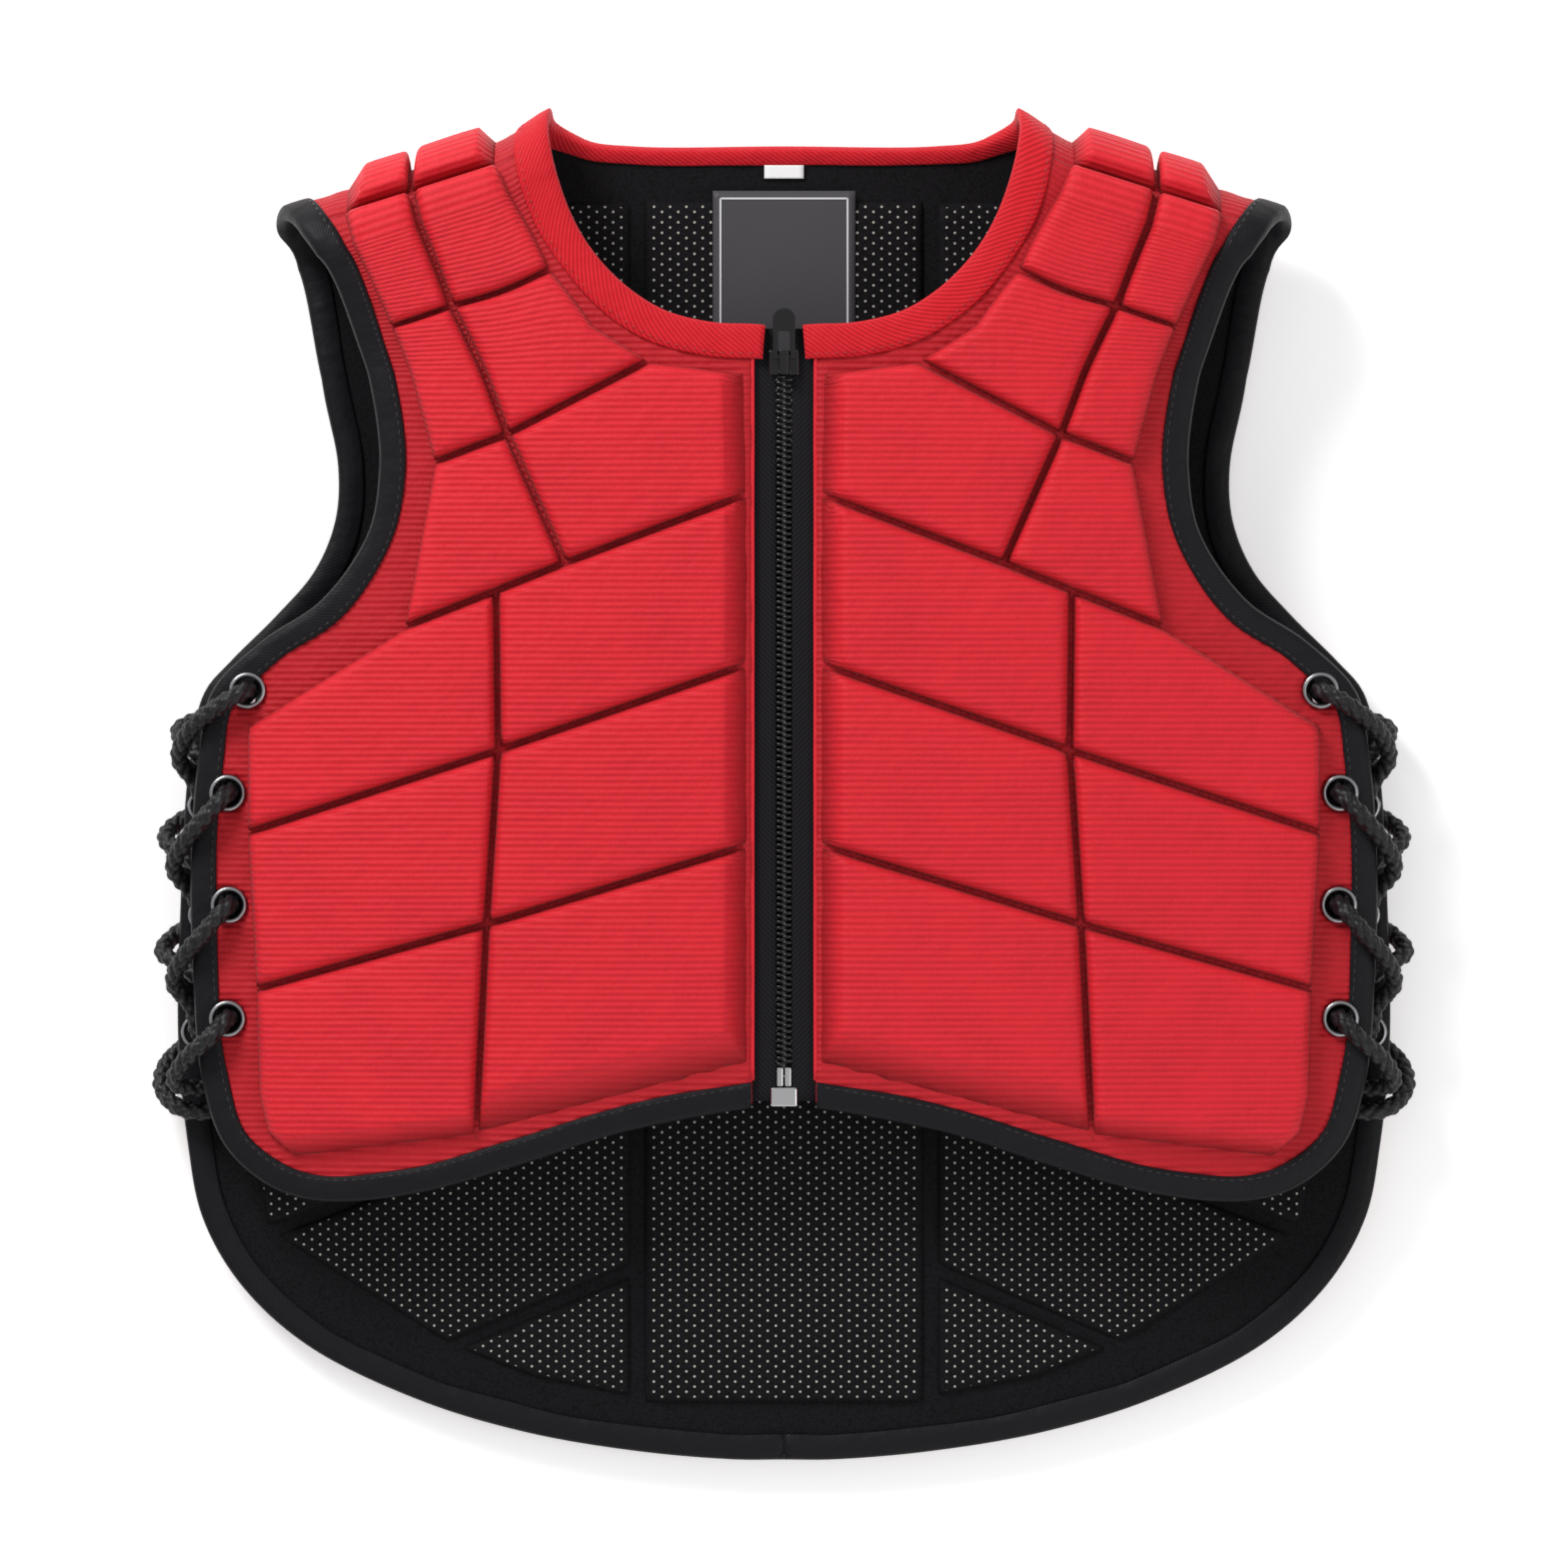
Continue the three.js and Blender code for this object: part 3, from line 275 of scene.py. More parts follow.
# Materials
def addNode(tree, kind, settings=None, links=None):
    # settings are the node's own properties or its sockets' values; links join sockets to others
    node = tree.nodes.new(kind)
    for name, value in (settings or {}).items():
        if isinstance(name, str) and hasattr(node, name):
            setattr(node, name, value)
        else:
            node.inputs[name].default_value = value
    for name, source in (links or {}).items():
        tree.links.new(source, node.inputs[name])
    return node


def newMaterial(name, color, roughness, more=None):
    material = bpy.data.materials.new(name)
    material.use_nodes = True
    tree = material.node_tree
    shader = tree.nodes["Principled BSDF"]
    shader.inputs["Base Color"].default_value = toLinear(color)
    shader.inputs["Roughness"].default_value = roughness
    for socket, value in (more or {}).items():
        shader.inputs[socket].default_value = value
    return material, tree, shader


def clothPlace(tree, turn=0):
    # The cloth's own x and t in millimetres, from its UV map
    uv = addNode(tree, "ShaderNodeUVMap", {"uv_map": "cloth"}).outputs["UV"]
    return addNode(tree, "ShaderNodeMapping", {
        "Scale": (100, 100, 100),
        "Rotation": (0, 0, math.radians(turn)),
    }, {"Vector": uv}).outputs["Vector"]


def bandScale(pitch):
    # Wave bands repeat every 2 pi / (20 scale)
    return 2 * math.pi / 20 / pitch


def addRelief(tree, shader, heights, strength=1):
    # heights is a list of (socket, millimetres)
    normal = None
    for height, depth in heights:
        links = {"Height": height}
        if normal is not None:
            links["Normal"] = normal
        bump = addNode(tree, "ShaderNodeBump", {"Strength": strength, "Distance": depth * mm}, links)
        normal = bump.outputs["Normal"]
    tree.links.new(normal, shader.inputs["Normal"])


def mixColors(tree, factor, first, second):
    mix = addNode(tree, "ShaderNodeMix", {"data_type": "RGBA"})
    if isinstance(factor, float):
        mix.inputs[0].default_value = factor
    else:
        tree.links.new(factor, mix.inputs[0])
    for index, shade in ((6, first), (7, second)):
        if isinstance(shade, str):
            mix.inputs[index].default_value = toLinear(shade)
        else:
            tree.links.new(shade, mix.inputs[index])
    return mix.outputs[2]


def ribbedPolyester():
    # Ottoman-ribbed polyester, woven: soft sheen along round ribs 2.5 mm apart, darker between them, with
    # painted shade darkening it towards each pad's foot
    material, tree, shader = newMaterial("ribbedPolyester", "#E0202F", 0.6, {
        "Sheen Weight": 0.05, "Sheen Roughness": 0.45, "Specular IOR Level": 0.25,
    })
    place = clothPlace(tree)
    ribs = addNode(tree, "ShaderNodeTexWave", {
        "bands_direction": "Y", "Scale": bandScale(2.5), "Distortion": 1.6,
        "Detail": 2.0, "Detail Scale": 0.09, "Detail Roughness": 0.5,
    }, {"Vector": place}).outputs["Fac"]
    threads = addNode(tree, "ShaderNodeTexWave", {
        "bands_direction": "X", "Scale": bandScale(0.9), "Distortion": 0.8, "Detail Scale": 0.6,
    }, {"Vector": place}).outputs["Fac"]
    patches = addNode(tree, "ShaderNodeTexNoise", {"Scale": 0.035, "Detail": 3.0}, {"Vector": place})
    pucker = addNode(tree, "ShaderNodeTexNoise", {"Scale": 0.16, "Detail": 2.0}, {"Vector": place})
    speckle = addNode(tree, "ShaderNodeTexNoise", {"Scale": 0.9, "Detail": 2.0}, {"Vector": place})
    # level paints shade: low on a pad's sides and in the grooves between pads, the red is darkened towards
    # #86060F
    level = addNode(tree, "ShaderNodeAttribute", {"attribute_name": "level"}).outputs["Fac"]
    grained = mixColors(tree, speckle.outputs["Fac"], "#BE1421", "#F0303F")
    shade = mixColors(tree, ribs, "#B20F1B", grained)
    worn = mixColors(tree, patches.outputs["Fac"], shade, "#E02130")
    tree.links.new(mixColors(tree, level, "#86060F", worn), shader.inputs["Base Color"])
    addRelief(tree, shader, [(pucker.outputs["Fac"], 0.8), (ribs, 0.28), (threads, 0.06)])
    return material


def wovenTape(name, look):
    # Tapes and labels; each set of bands is a direction, pitch, distortion, its detail and its depth
    material, tree, shader = newMaterial(name, look["color"], look["roughness"], look["sockets"])
    place = clothPlace(tree, look.get("turn", 0))
    reliefs = []
    if "pucker" in look:
        size, depth = look["pucker"]
        pucker = addNode(tree, "ShaderNodeTexNoise", {"Scale": size, "Detail": 2.0}, {"Vector": place})
        reliefs.append((pucker.outputs["Fac"], depth))
    for direction, pitch, distortion, detail, depth in look["bands"]:
        bands = addNode(tree, "ShaderNodeTexWave", {
            "bands_direction": direction, "Scale": bandScale(pitch),
            "Distortion": distortion, "Detail Scale": detail,
        }, {"Vector": place})
        reliefs.append((bands.outputs["Fac"], depth))
    if "shades" in look:
        tree.links.new(mixColors(tree, reliefs[-1][0], *look["shades"]), shader.inputs["Base Color"])
    addRelief(tree, shader, reliefs)
    return material


def knitMesh(name, dotted):
    # Perforated warp knit, printed dark: matt black, and rows of tiny holes with pale foam under them
    material, tree, shader = newMaterial(name, "#131114", 0.82, {
        "Specular IOR Level": 0.12,
    })
    place = clothPlace(tree)
    knit = addNode(tree, "ShaderNodeTexVoronoi", {"Scale": 0.9}, {"Vector": place}).outputs["Distance"]
    ground = mixColors(tree, knit, "#19171A", "#0B0A0C")
    if dotted:
        cell = (6.4, 2, 1)  # a row of dots each 2 mm, 6.4 mm apart, every other row shifted by half
        cells = addNode(tree, "ShaderNodeVectorMath", {"operation": "DIVIDE", 1: cell}, {0: place})
        split = addNode(tree, "ShaderNodeSeparateXYZ", {}, {"Vector": cells.outputs[0]})
        row = addNode(tree, "ShaderNodeMath", {"operation": "FLOOR"}, {0: split.outputs["Y"]})
        column = addNode(tree, "ShaderNodeMath", {"operation": "MULTIPLY_ADD", 1: 0.5}, {
            0: row.outputs[0], 2: split.outputs["X"],
        })
        spot = addNode(tree, "ShaderNodeCombineXYZ", {}, {"X": column.outputs[0], "Y": split.outputs["Y"]})
        for operation in ({"operation": "FRACTION"}, {"operation": "MULTIPLY", 1: cell}):
            spot = addNode(tree, "ShaderNodeVectorMath", operation, {0: spot.outputs[0]})
        middle = (cell[0] / 2, cell[1] / 2, 0)
        reach = addNode(tree, "ShaderNodeVectorMath", {"operation": "DISTANCE", 1: middle}, {
            0: spot.outputs[0],
        })
        hole = addNode(tree, "ShaderNodeMapRange", {
            "From Min": 0.36, "From Max": 0.56, "To Min": 1.0, "To Max": 0.0,
        }, {"Value": reach.outputs["Value"]}).outputs["Result"]
        ground = mixColors(tree, hole, ground, "#B2AEA6")
    tree.links.new(ground, shader.inputs["Base Color"])
    addRelief(tree, shader, [(knit, 0.12)])
    return material


def braidedPolyester():
    # Braided polyester cord: black glossy strands, lighter on their crests as a painted highlight and dark
    # where they cross as painted shade
    material, tree, shader = newMaterial("braidedPolyester", "#151417", 0.45, {
        "Specular IOR Level": 0.35,
    })
    place = clothPlace(tree)
    fibres = addNode(tree, "ShaderNodeTexNoise", {"Scale": 1.6, "Detail": 3.0}, {"Vector": place})
    crest = addNode(tree, "ShaderNodeAttribute", {"attribute_name": "crest"}).outputs["Fac"]
    # crest paints a highlight on each strand's top and shade in the hollows between strands
    strand = mixColors(tree, crest, "#020203", "#222024")
    tree.links.new(mixColors(tree, fibres.outputs["Fac"], strand, "#0C0B0D"), shader.inputs["Base Color"])
    addRelief(tree, shader, [(fibres.outputs["Fac"], 0.12)])
    return material


def coatedMetal(name, color, roughness, metallic, grit, depth):
    # Die-cast or stamped metal: a fine grain from casting and plating, worked out in metres on the object
    material, tree, shader = newMaterial(name, color, roughness, {"Metallic": metallic})
    place = addNode(tree, "ShaderNodeTexCoord").outputs["Object"]
    grain = addNode(tree, "ShaderNodeTexNoise", {"Scale": 1 / (grit * mm), "Detail": 3.0}, {"Vector": place})
    rough = addNode(tree, "ShaderNodeMapRange", {
        "To Min": roughness - 0.06, "To Max": roughness + 0.1,
    }, {"Value": grain.outputs["Fac"]})
    tree.links.new(rough.outputs["Result"], shader.inputs["Roughness"])
    addRelief(tree, shader, [(grain.outputs["Fac"], depth)])
    return material


def satinLabel(name, color, pitch):
    # Woven satin label: smooth, with very fine warp lines
    return wovenTape(name, {
        "color": color, "roughness": 0.55, "sockets": {"Sheen Weight": 0.15},
        "bands": [("DIAGONAL", pitch, 0, 1, 0.03)],
    })


def sewingThread(name, color):
    # Polyester sewing thread: soft gloss
    material, tree, shader = newMaterial(name, color, 0.5, {"Sheen Weight": 0.2})
    place = addNode(tree, "ShaderNodeTexCoord").outputs["Object"]
    ply = addNode(tree, "ShaderNodeTexNoise", {"Scale": 1 / (0.4 * mm)}, {"Vector": place})
    addRelief(tree, shader, [(ply.outputs["Fac"], 0.05)])
    return material


print("materials")
redCloth = ribbedPolyester()
# Cotton twill tape, woven: matt, with diagonal lines 1.5 mm apart
redTape = wovenTape("twillTape", {
    "color": "#D01C2A", "roughness": 0.7, "turn": 52,
    "sockets": {"Sheen Weight": 0.05, "Specular IOR Level": 0.2},
    "pucker": (0.12, 1.0), "bands": [("X", 1.5, 0.5, 0.4, 0.14)], "shades": ("#B3101C", "#DC1F2D"),
})
# Polyester binding tape, close woven: near black with a soft gloss and faint cross threads
blackTape = wovenTape("satinTape", {
    "color": "#131215", "roughness": 0.5, "sockets": {"Specular IOR Level": 0.16},
    "pucker": (0.1, 0.9), "bands": [("DIAGONAL", 0.8, 0.6, 0.5, 0.04)], "shades": ("#0E0D10", "#1A181C"),
})
# Woven polyester zip tape: matt black with fine lengthwise ribs
zipCloth = wovenTape("herringboneTape", {
    "color": "#131215", "roughness": 0.75, "sockets": {"Specular IOR Level": 0.15},
    "bands": [("X", 1.2, 0.4, 1, 0.12), ("DIAGONAL", 1.0, 0, 1, 0.08)], "shades": ("#0D0C0F", "#1D1B1F"),
})
dottedKnit = knitMesh("dottedKnit", True)
plainKnit = knitMesh("plainKnit", False)
cordBraid = braidedPolyester()
gunmetal = coatedMetal("gunmetalPlate", "#9C9C9F", 0.28, 1.0, 0.6, 0.02)
blackEnamel = coatedMetal("blackEnamelZinc", "#0C0C0E", 0.22, 0.0, 0.8, 0.02)
nickel = coatedMetal("brightNickel", "#D4D4D6", 0.2, 1.0, 0.5, 0.015)
labelSatin = satinLabel("labelSatin", "#3B393E", 0.7)
frameSatin = satinLabel("frameSatin", "#D8D8DA", 0.5)
tagSatin = satinLabel("tagSatin", "#F0F0F0", 0.6)
redThread = sewingThread("redThread", "#B5121F")
blackThread = sewingThread("blackThread", "#17161A")


def finishPiece(name, bm, materials, body, nodes, flat=True, smooth=True):
    # Stores the cloth's flat place as a UV map, bends the mesh to the worn shape and adds the piece
    bm.verts.index_update()
    mesh = bpy.data.meshes.new(name)
    bm.to_mesh(mesh)
    bm.free()
    count = len(mesh.vertices)
    place = np.empty(count * 3, np.float32)
    mesh.vertices.foreach_get("co", place)
    place = place.reshape(-1, 3).astype(float)
    if flat:
        if "cloth" not in mesh.uv_layers:
            layer = mesh.uv_layers.new(name="cloth")
            corners = np.empty(len(mesh.loops), np.int32)
            mesh.loops.foreach_get("vertex_index", corners)
            layer.data.foreach_set("uv", (place[corners, :2] / 100).ravel())
        place = bend(place)
    mesh.vertices.foreach_set("co", (place * mm).ravel())
    mesh.update()
    for material in materials:
        mesh.materials.append(material)
    if smooth:
        mesh.shade_smooth()
    piece = bpy.data.objects.new(name, mesh)
    bpy.context.collection.objects.link(piece)
    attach(piece, body)
    if nodes:
        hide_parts(*nodes)
    return piece


def finishPair(name, form, material, node=None, flat=True):
    # The same piece on both sides of the body
    pieces = []
    for side, half in zip(sides, (form, flipped(form))):
        nodes = [f"{node}_{side}"] if node else []
        pieces.append(finishPiece(f"{name}_{side}", half, [material], "vest", nodes, flat))
    return pieces


def outward(bm):
    bmesh.ops.recalc_face_normals(bm, faces=bm.faces)


def flipped(bm):
    # The same form on the wearer's other side
    copy = bm.copy()
    for vert in copy.verts:
        vert.co.x = -vert.co.x
    bmesh.ops.reverse_faces(copy, faces=copy.faces)
    return copy


def appended(target, source):
    mesh = bpy.data.meshes.new("joining")
    source.to_mesh(mesh)
    target.from_mesh(mesh)
    bpy.data.meshes.remove(mesh)


def noiseAt(points, size, seed):
    # Smooth noise from a few waves in different directions
    waves = np.random.default_rng(seed)
    total = np.zeros(len(points))
    for _ in range(6):
        turn = waves.uniform(0, 2 * math.pi)
        length = size * waves.uniform(0.6, 1.8)
        shift = waves.uniform(0, 2 * math.pi)
        reach = points[:, 0] * math.cos(turn) + points[:, 1] * math.sin(turn)
        total += np.sin(reach * 2 * math.pi / length + shift)
    return total / 3.5


def insetOutline(points, distances):
    # Moves each side of an outline inwards by its own distance; the outline runs anticlockwise
    line = np.array(points, float)
    along = np.roll(line, -1, axis=0) - line
    along /= np.linalg.norm(along, axis=1)[:, None]
    normal = np.stack([-along[:, 1], along[:, 0]], axis=1)
    distances = np.broadcast_to(np.asarray(distances, float), len(line))
    start = line + normal * distances[:, None]
    moved = []
    for i in range(len(line)):
        cross = along[i - 1, 0] * along[i, 1] - along[i - 1, 1] * along[i, 0]
        if abs(cross) < 0.03:
            moved.append(line[i] + normal[i] * distances[i])
            continue
        gap = start[i] - start[i - 1]
        reach = (gap[0] * along[i, 1] - gap[1] * along[i, 0]) / cross
        moved.append(start[i - 1] + along[i - 1] * reach)
    return np.array(moved)


def anticlockwise(points, widths):
    line = np.array(points, float)
    x, t = line.T
    area = np.sum(x * np.roll(t, -1) - np.roll(x, -1) * t)
    if area > 0:
        return line, list(widths)
    return line[::-1], list(widths[::-1][1:]) + [widths[-1]]


padShape = {
    "groove": 0.65,  # half the seam's floor
    "slope": 4.0,
    "rings": [(0, 1.0), (0.07, 3.4), (0.2, 6.2), (0.4, 8.4), (0.66, 9.7), (1, 10.3)],
    "crown": 0.6,
    "cell": 5,
}
liningShape = {
    "groove": 2.2,
    "slope": 3.2,
    "rings": [(0, -1.0), (0.15, -2.6), (0.45, -3.7), (1, -4.1)],
    "crown": -0.5,
    "cell": 8,
}
wideSlopes = {"zip": 9.5, "hem": 16, "corner": 8.5, "strapSeam": 2.6, "strapEdge": 7.5}


def cutIntoCells(form, low, high, cell):
    for axis in (0, 1):
        normal = (1, 0, 0) if axis == 0 else (0, 1, 0)
        for cut in np.arange(math.ceil(low[axis] / cell) + 0.01, high[axis] / cell):
            plane = [cut * cell * n for n in normal]
            parts = form.verts[:] + form.edges[:] + form.faces[:]
            bmesh.ops.bisect_plane(form, geom=parts, dist=0.05, plane_co=plane, plane_no=normal)


def addPad(target, outline, shape, slopes=None, fill=0):
    # One pad: its outline inset ring by ring, each higher, then cut into cells so that it can bend
    slopes = [shape["slope"]] * len(outline) if slopes is None else slopes
    line, widths = anticlockwise(outline, slopes)
    base = insetOutline(line, shape["groove"])
    wide = np.array(widths) > 1.5 * shape["slope"]
    heights = [high for _, high in shape["rings"]]
    pad = bmesh.new()
    corners = [pad.verts.new((x, t, heights[0])) for x, t in base]
    top = pad.faces.new(corners)
    ring = base
    for share, high in shape["rings"][1:]:
        straight = (high - heights[0]) / (heights[-1] - heights[0])
        inset = np.where(wide, np.array(widths) * straight, np.array(widths) * share)
        nextRing = insetOutline(base, inset)
        bmesh.ops.inset_region(pad, faces=[top], thickness=0.001, use_boundary=True, use_even_offset=False)
        for vert in top.verts:
            nearest = np.argmin(np.hypot(ring[:, 0] - vert.co.x, ring[:, 1] - vert.co.y))
            vert.co = (*nextRing[nearest], high)
        ring = nextRing
    bmesh.ops.holes_fill(pad, edges=[edge for edge in pad.edges if edge.is_boundary])
    cutIntoCells(pad, base.min(axis=0), base.max(axis=0), shape["cell"])
    free = [vert for vert in pad.verts if abs(vert.co.z - heights[0]) > 0.5]
    for _ in range(2):
        bmesh.ops.smooth_vert(pad, verts=free, factor=0.28, use_axis_x=True, use_axis_y=True, use_axis_z=True)
    place = np.array([vert.co for vert in pad.verts])
    along = np.roll(base, -1, axis=0) - base
    along /= np.linalg.norm(along, axis=1)[:, None]
    inward = np.stack([-along[:, 1], along[:, 0]], axis=1)
    depth = np.stack([(place[:, :2] - base[i]) @ inward[i] for i in range(len(base))], axis=1)
    near = np.argmin(depth / np.array(widths), axis=1)
    inside = np.clip(depth.min(axis=1), 0, None)
    swell = shape["crown"] * ease(inside / 30)
    lifted = np.abs(place[:, 2] - heights[0]) > 0.5
    place[:, 2] += np.where(lifted, swell, 0)
    # Down a pad's side the cloth goes on, so its pattern is stretched outwards by what the side hides
    shares = np.array([share * shape["slope"] for share, _ in shape["rings"]])
    steps = np.hypot(np.diff(shares), np.diff(heights))
    hidden = np.append(np.cumsum((steps - np.diff(shares))[::-1])[::-1], 0)
    order = np.argsort(heights)
    excess = np.interp(place[:, 2], np.array(heights)[order], hidden[order])
    excess = np.where(wide[near], 0, excess)
    flatSpots = place[:, :2] - inward[near] * excess[:, None]
    layer = pad.loops.layers.uv.new("cloth")
    # The level layer also sets the red cloth's painted shade, darkest at a pad's foot
    levelLayer = pad.verts.layers.float.new("level")
    rise = (place[:, 2] - heights[0]) / (heights[-1] - heights[0])
    for vert, co, uv, share in zip(pad.verts, place, flatSpots, np.clip(rise * 1.25, 0, 1)):
        vert[levelLayer] = share
        vert.co = co
        for loop in vert.link_loops:
            loop[layer].uv = uv / 100
    outward(pad)
    for face in pad.faces:
        onTop = min(vert[levelLayer] for vert in face.verts) > 0.9
        face.material_index = fill if onTop else 0
    appended(target, pad)
    pad.free()


eyelet = {"outer": 7.3, "hole": 5.2, "flange": 0.55, "steps": 28, "clothHole": 6}
tucked = 1.8  # how far the cloth's edge stays inside the fold of its binding


def sheetForm(outline, low, high, cell, pucker, holes=()):
    # A layer of cloth: its outline as one face, cut into cells and given its thickness and small puckers
    outline = np.array(outline)
    ahead = np.roll(outline, -1, axis=0)
    joined = np.any(np.abs(ahead - outline) < 1e-6, axis=1)
    line, tucks = anticlockwise(outline, np.where(joined, 0, tucked))
    line = insetOutline(line, tucks)
    sheet = bmesh.new()
    sheet.faces.new([sheet.verts.new((x, t, low)) for x, t in line])
    cutIntoCells(sheet, line.min(axis=0), line.max(axis=0), cell)
    for x, t in holes:
        centre = Vector((x, t, low))
        gone = [vert for vert in sheet.verts if (vert.co - centre).length <= eyelet["clothHole"]]
        rim = {other for vert in gone for face in vert.link_faces for other in face.verts} - set(gone)
        for vert in rim:
            vert.co = centre + (vert.co - centre).normalized() * eyelet["clothHole"]
        bmesh.ops.delete(sheet, geom=gone, context="VERTS")
    upper = bmesh.ops.extrude_face_region(sheet, geom=sheet.faces[:])
    raised = [item for item in upper["geom"] if isinstance(item, bmesh.types.BMVert)]
    for vert in sheet.verts:
        vert.co.z = low
    flat = np.array([vert.co for vert in raised])
    swell = noiseAt(flat, 14, 3) * pucker + noiseAt(flat, 6, 5) * pucker * 0.6
    for vert, lift in zip(raised, swell):
        vert.co.z = high + lift
    outward(sheet)
    # A level of 0.58 gives the red sheet between and around the pads part of the painted shade of a pad's
    # foot
    flatPlace(sheet, 0.58)
    return sheet


def flatPlace(form, level=1):
    # The UV map keeps each corner's place on the flat cloth; level is 0 at a pad's foot, 1 on its top, and on
    # the red cloth a low level means painted shade
    layer = form.loops.layers.uv.new("cloth")
    levelLayer = form.verts.layers.float.new("level")
    for vert in form.verts:
        vert[levelLayer] = level
        for loop in vert.link_loops:
            loop[layer].uv = (vert.co.x / 100, vert.co.y / 100)


def mirrored(points):
    return [(-x, t) for x, t in points][::-1]


def frontOutline(zipX):
    armSide = smoothLine(strapLine(strapArm)[:1] + frontArmhole + frontHem, 8)
    neckSide = smoothLine(frontNeck + strapLine(strapNeck)[:1], 6)
    between = [tuple(point) for point in (*neckSide[1:], *armSide[:-1]) if point[0] >= zipX]
    return np.array([(zipX, neckSide[0][1]), *between, (zipX, armSide[-1][1])])


def backOutline():
    armSide = smoothLine(strapLine(strapArm)[-1:] + backArmhole + backHem, 8)
    neckSide = smoothLine(backNeck + strapLine(strapNeck)[-1:], 6)
    half = [*map(tuple, neckSide), *map(tuple, armSide)]
    return np.array(half + mirrored(half)[1:-1])


def frontPads():
    arm, seam, neck = (strapPoint(strapPads[name], cloth["frontReach"]) for name in ("arm", "seam", "neck"))
    chest, rib, waist, upper, lower, foot = frontSeams
    at = frontCorners
    side, zipSide, corner = padShape["slope"], wideSlopes["zip"], wideSlopes["corner"]
    besideZip = [side, side, zipSide, side, side]
    cornerPad = [lower[0], lower[1], foot[1], foot[0], at["hemTurn"], at["hemSide"]]
    return [
        ([arm, seam, chest[1], chest[0]], None),
        ([seam, neck, chest[2], chest[1]], None),
        ([chest[0], chest[1], rib[1], rib[0]], None),
        ([chest[1], chest[2], at["neckMiddle"], rib[2], rib[1]], None),
        ([rib[0], rib[1], waist[1], waist[0]], None),
        ([rib[1], rib[2], at["neckZip"], waist[2], waist[1]], besideZip),
        ([at["side"], waist[0], at["lowerSeamTop"], upper[1], upper[0]], None),
        ([at["lowerSeamTop"], waist[1], waist[2], upper[2], upper[1]], besideZip),
        ([upper[0], upper[1], lower[1], lower[0]], None),
        ([upper[1], upper[2], lower[2], lower[1]], [side, zipSide, side, side]),
        (cornerPad, [side, side, corner, side, side, side]),
        ([lower[1], lower[2], foot[2], foot[1]], [side, zipSide, wideSlopes["hem"], side]),
    ]


def backPads():
    arm, seam, neck = (strapPoint(strapPads[name], -cloth["backReach"]) for name in ("arm", "seam", "neck"))
    seams, at = backSeams, backCorners
    half = [
        [arm, seam, seams[0][1], seams[0][0]],
        [seam, neck, at["neck"], seams[0][1]],
    ]
    for i in range(1, len(seams)):
        above, below = seams[i - 1], seams[i]
        side = [at["side"], at["armhole"]] if i == 3 else []
        half.append([above[0], above[1], below[1], below[0]] + side)
        half.append([above[1], above[2], below[2], below[1]])
    last = seams[-1]
    half.append([at["tailSeam"], last[2], last[1], last[0], at["tailSide"]])
    half.append([at["tailSeam"], at["tailSide"], at["tailLow"], at["tailFoot"]])
    column = []
    for i in range(1, len(columnSeams)):
        ends = onBack([(columnHalf, columnSeams[i - 1]), (columnHalf, columnSeams[i])])
        column.append([ends[0], (-ends[0][0], ends[0][1]), (-ends[1][0], ends[1][1]), ends[1]])
    return half + [mirrored(pad) for pad in half] + column


def strapPadList():
    line = [strapPads[name] * halfWidth for name in ("neck", "seam", "arm")]
    front, back = cloth["frontReach"], -cloth["backReach"]
    seam, edge = wideSlopes["strapSeam"], wideSlopes["strapEdge"]
    return [
        ([(line[0], front), (line[1], front), (line[1], back), (line[0], back)], [seam, seam, seam, edge]),
        ([(line[1], front), (line[2], front), (line[2], back), (line[1], back)], [seam, edge, seam, seam]),
    ]


backHoles = backEyelets + mirrored(backEyelets)

print("front panels")
frontSheet = sheetForm(frontOutline(cloth["zipEdge"]), 0, cloth["sheet"], 3, 0.22, frontEyelets)
for outline, slopes in frontPads():
    addPad(frontSheet, outline, padShape, slopes)
for piece in finishPair("front_pads", frontSheet, redCloth, "front_panel"):
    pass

print("back panel")
backSheet = sheetForm(backOutline(), 0, cloth["sheet"], 4, 0.22, backHoles)
for outline in backPads():
    addPad(backSheet, outline, padShape)
piece = finishPiece("back_pads", backSheet, [redCloth], "vest", ["back_panel"])

print("shoulder straps")
strapOutline = np.array(
    [tuple(p) for p in smoothLine(strapLine(strapNeck), 4)]
    + [tuple(p) for p in smoothLine(strapLine(strapArm)[::-1], 4)]
)
strapSheet = sheetForm(strapOutline, 0, cloth["sheet"], 2.5, 0.15)
for outline, slopes in strapPadList():
    addPad(strapSheet, outline, padShape, slopes)
for piece in finishPair("shoulder_pads", strapSheet, redCloth, "shoulder_strap"):
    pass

print("linings")
liningZip = 19.7
low, high = cloth["liningLow"], cloth["liningHigh"]
backKnit = sheetForm(backOutline(), high, low, 5, 0.15, backHoles)
for outline in backPads():
    addPad(backKnit, outline, liningShape, None, 1)
finishPiece("back_knit", backKnit, [plainKnit, dottedKnit], "vest", ["back_lining"])
frontKnit = sheetForm(frontOutline(liningZip), high, low, 5, 0.15, frontEyelets)
strapKnit = sheetForm(strapOutline, high, low, 3, 0.1)
finishPair("front_knit", frontKnit, dottedKnit, "front_lining")
finishPair("shoulder_knit", strapKnit, dottedKnit, "shoulder_lining")


print("bindings")
tape = {
    "thickness": 1,
    "gap": 0.35,
    "edgeWidth": 10,
    "neckWidth": 13,
    "neckInside": 7,
    "neckEnd": 6.8,
    "step": 3,
}


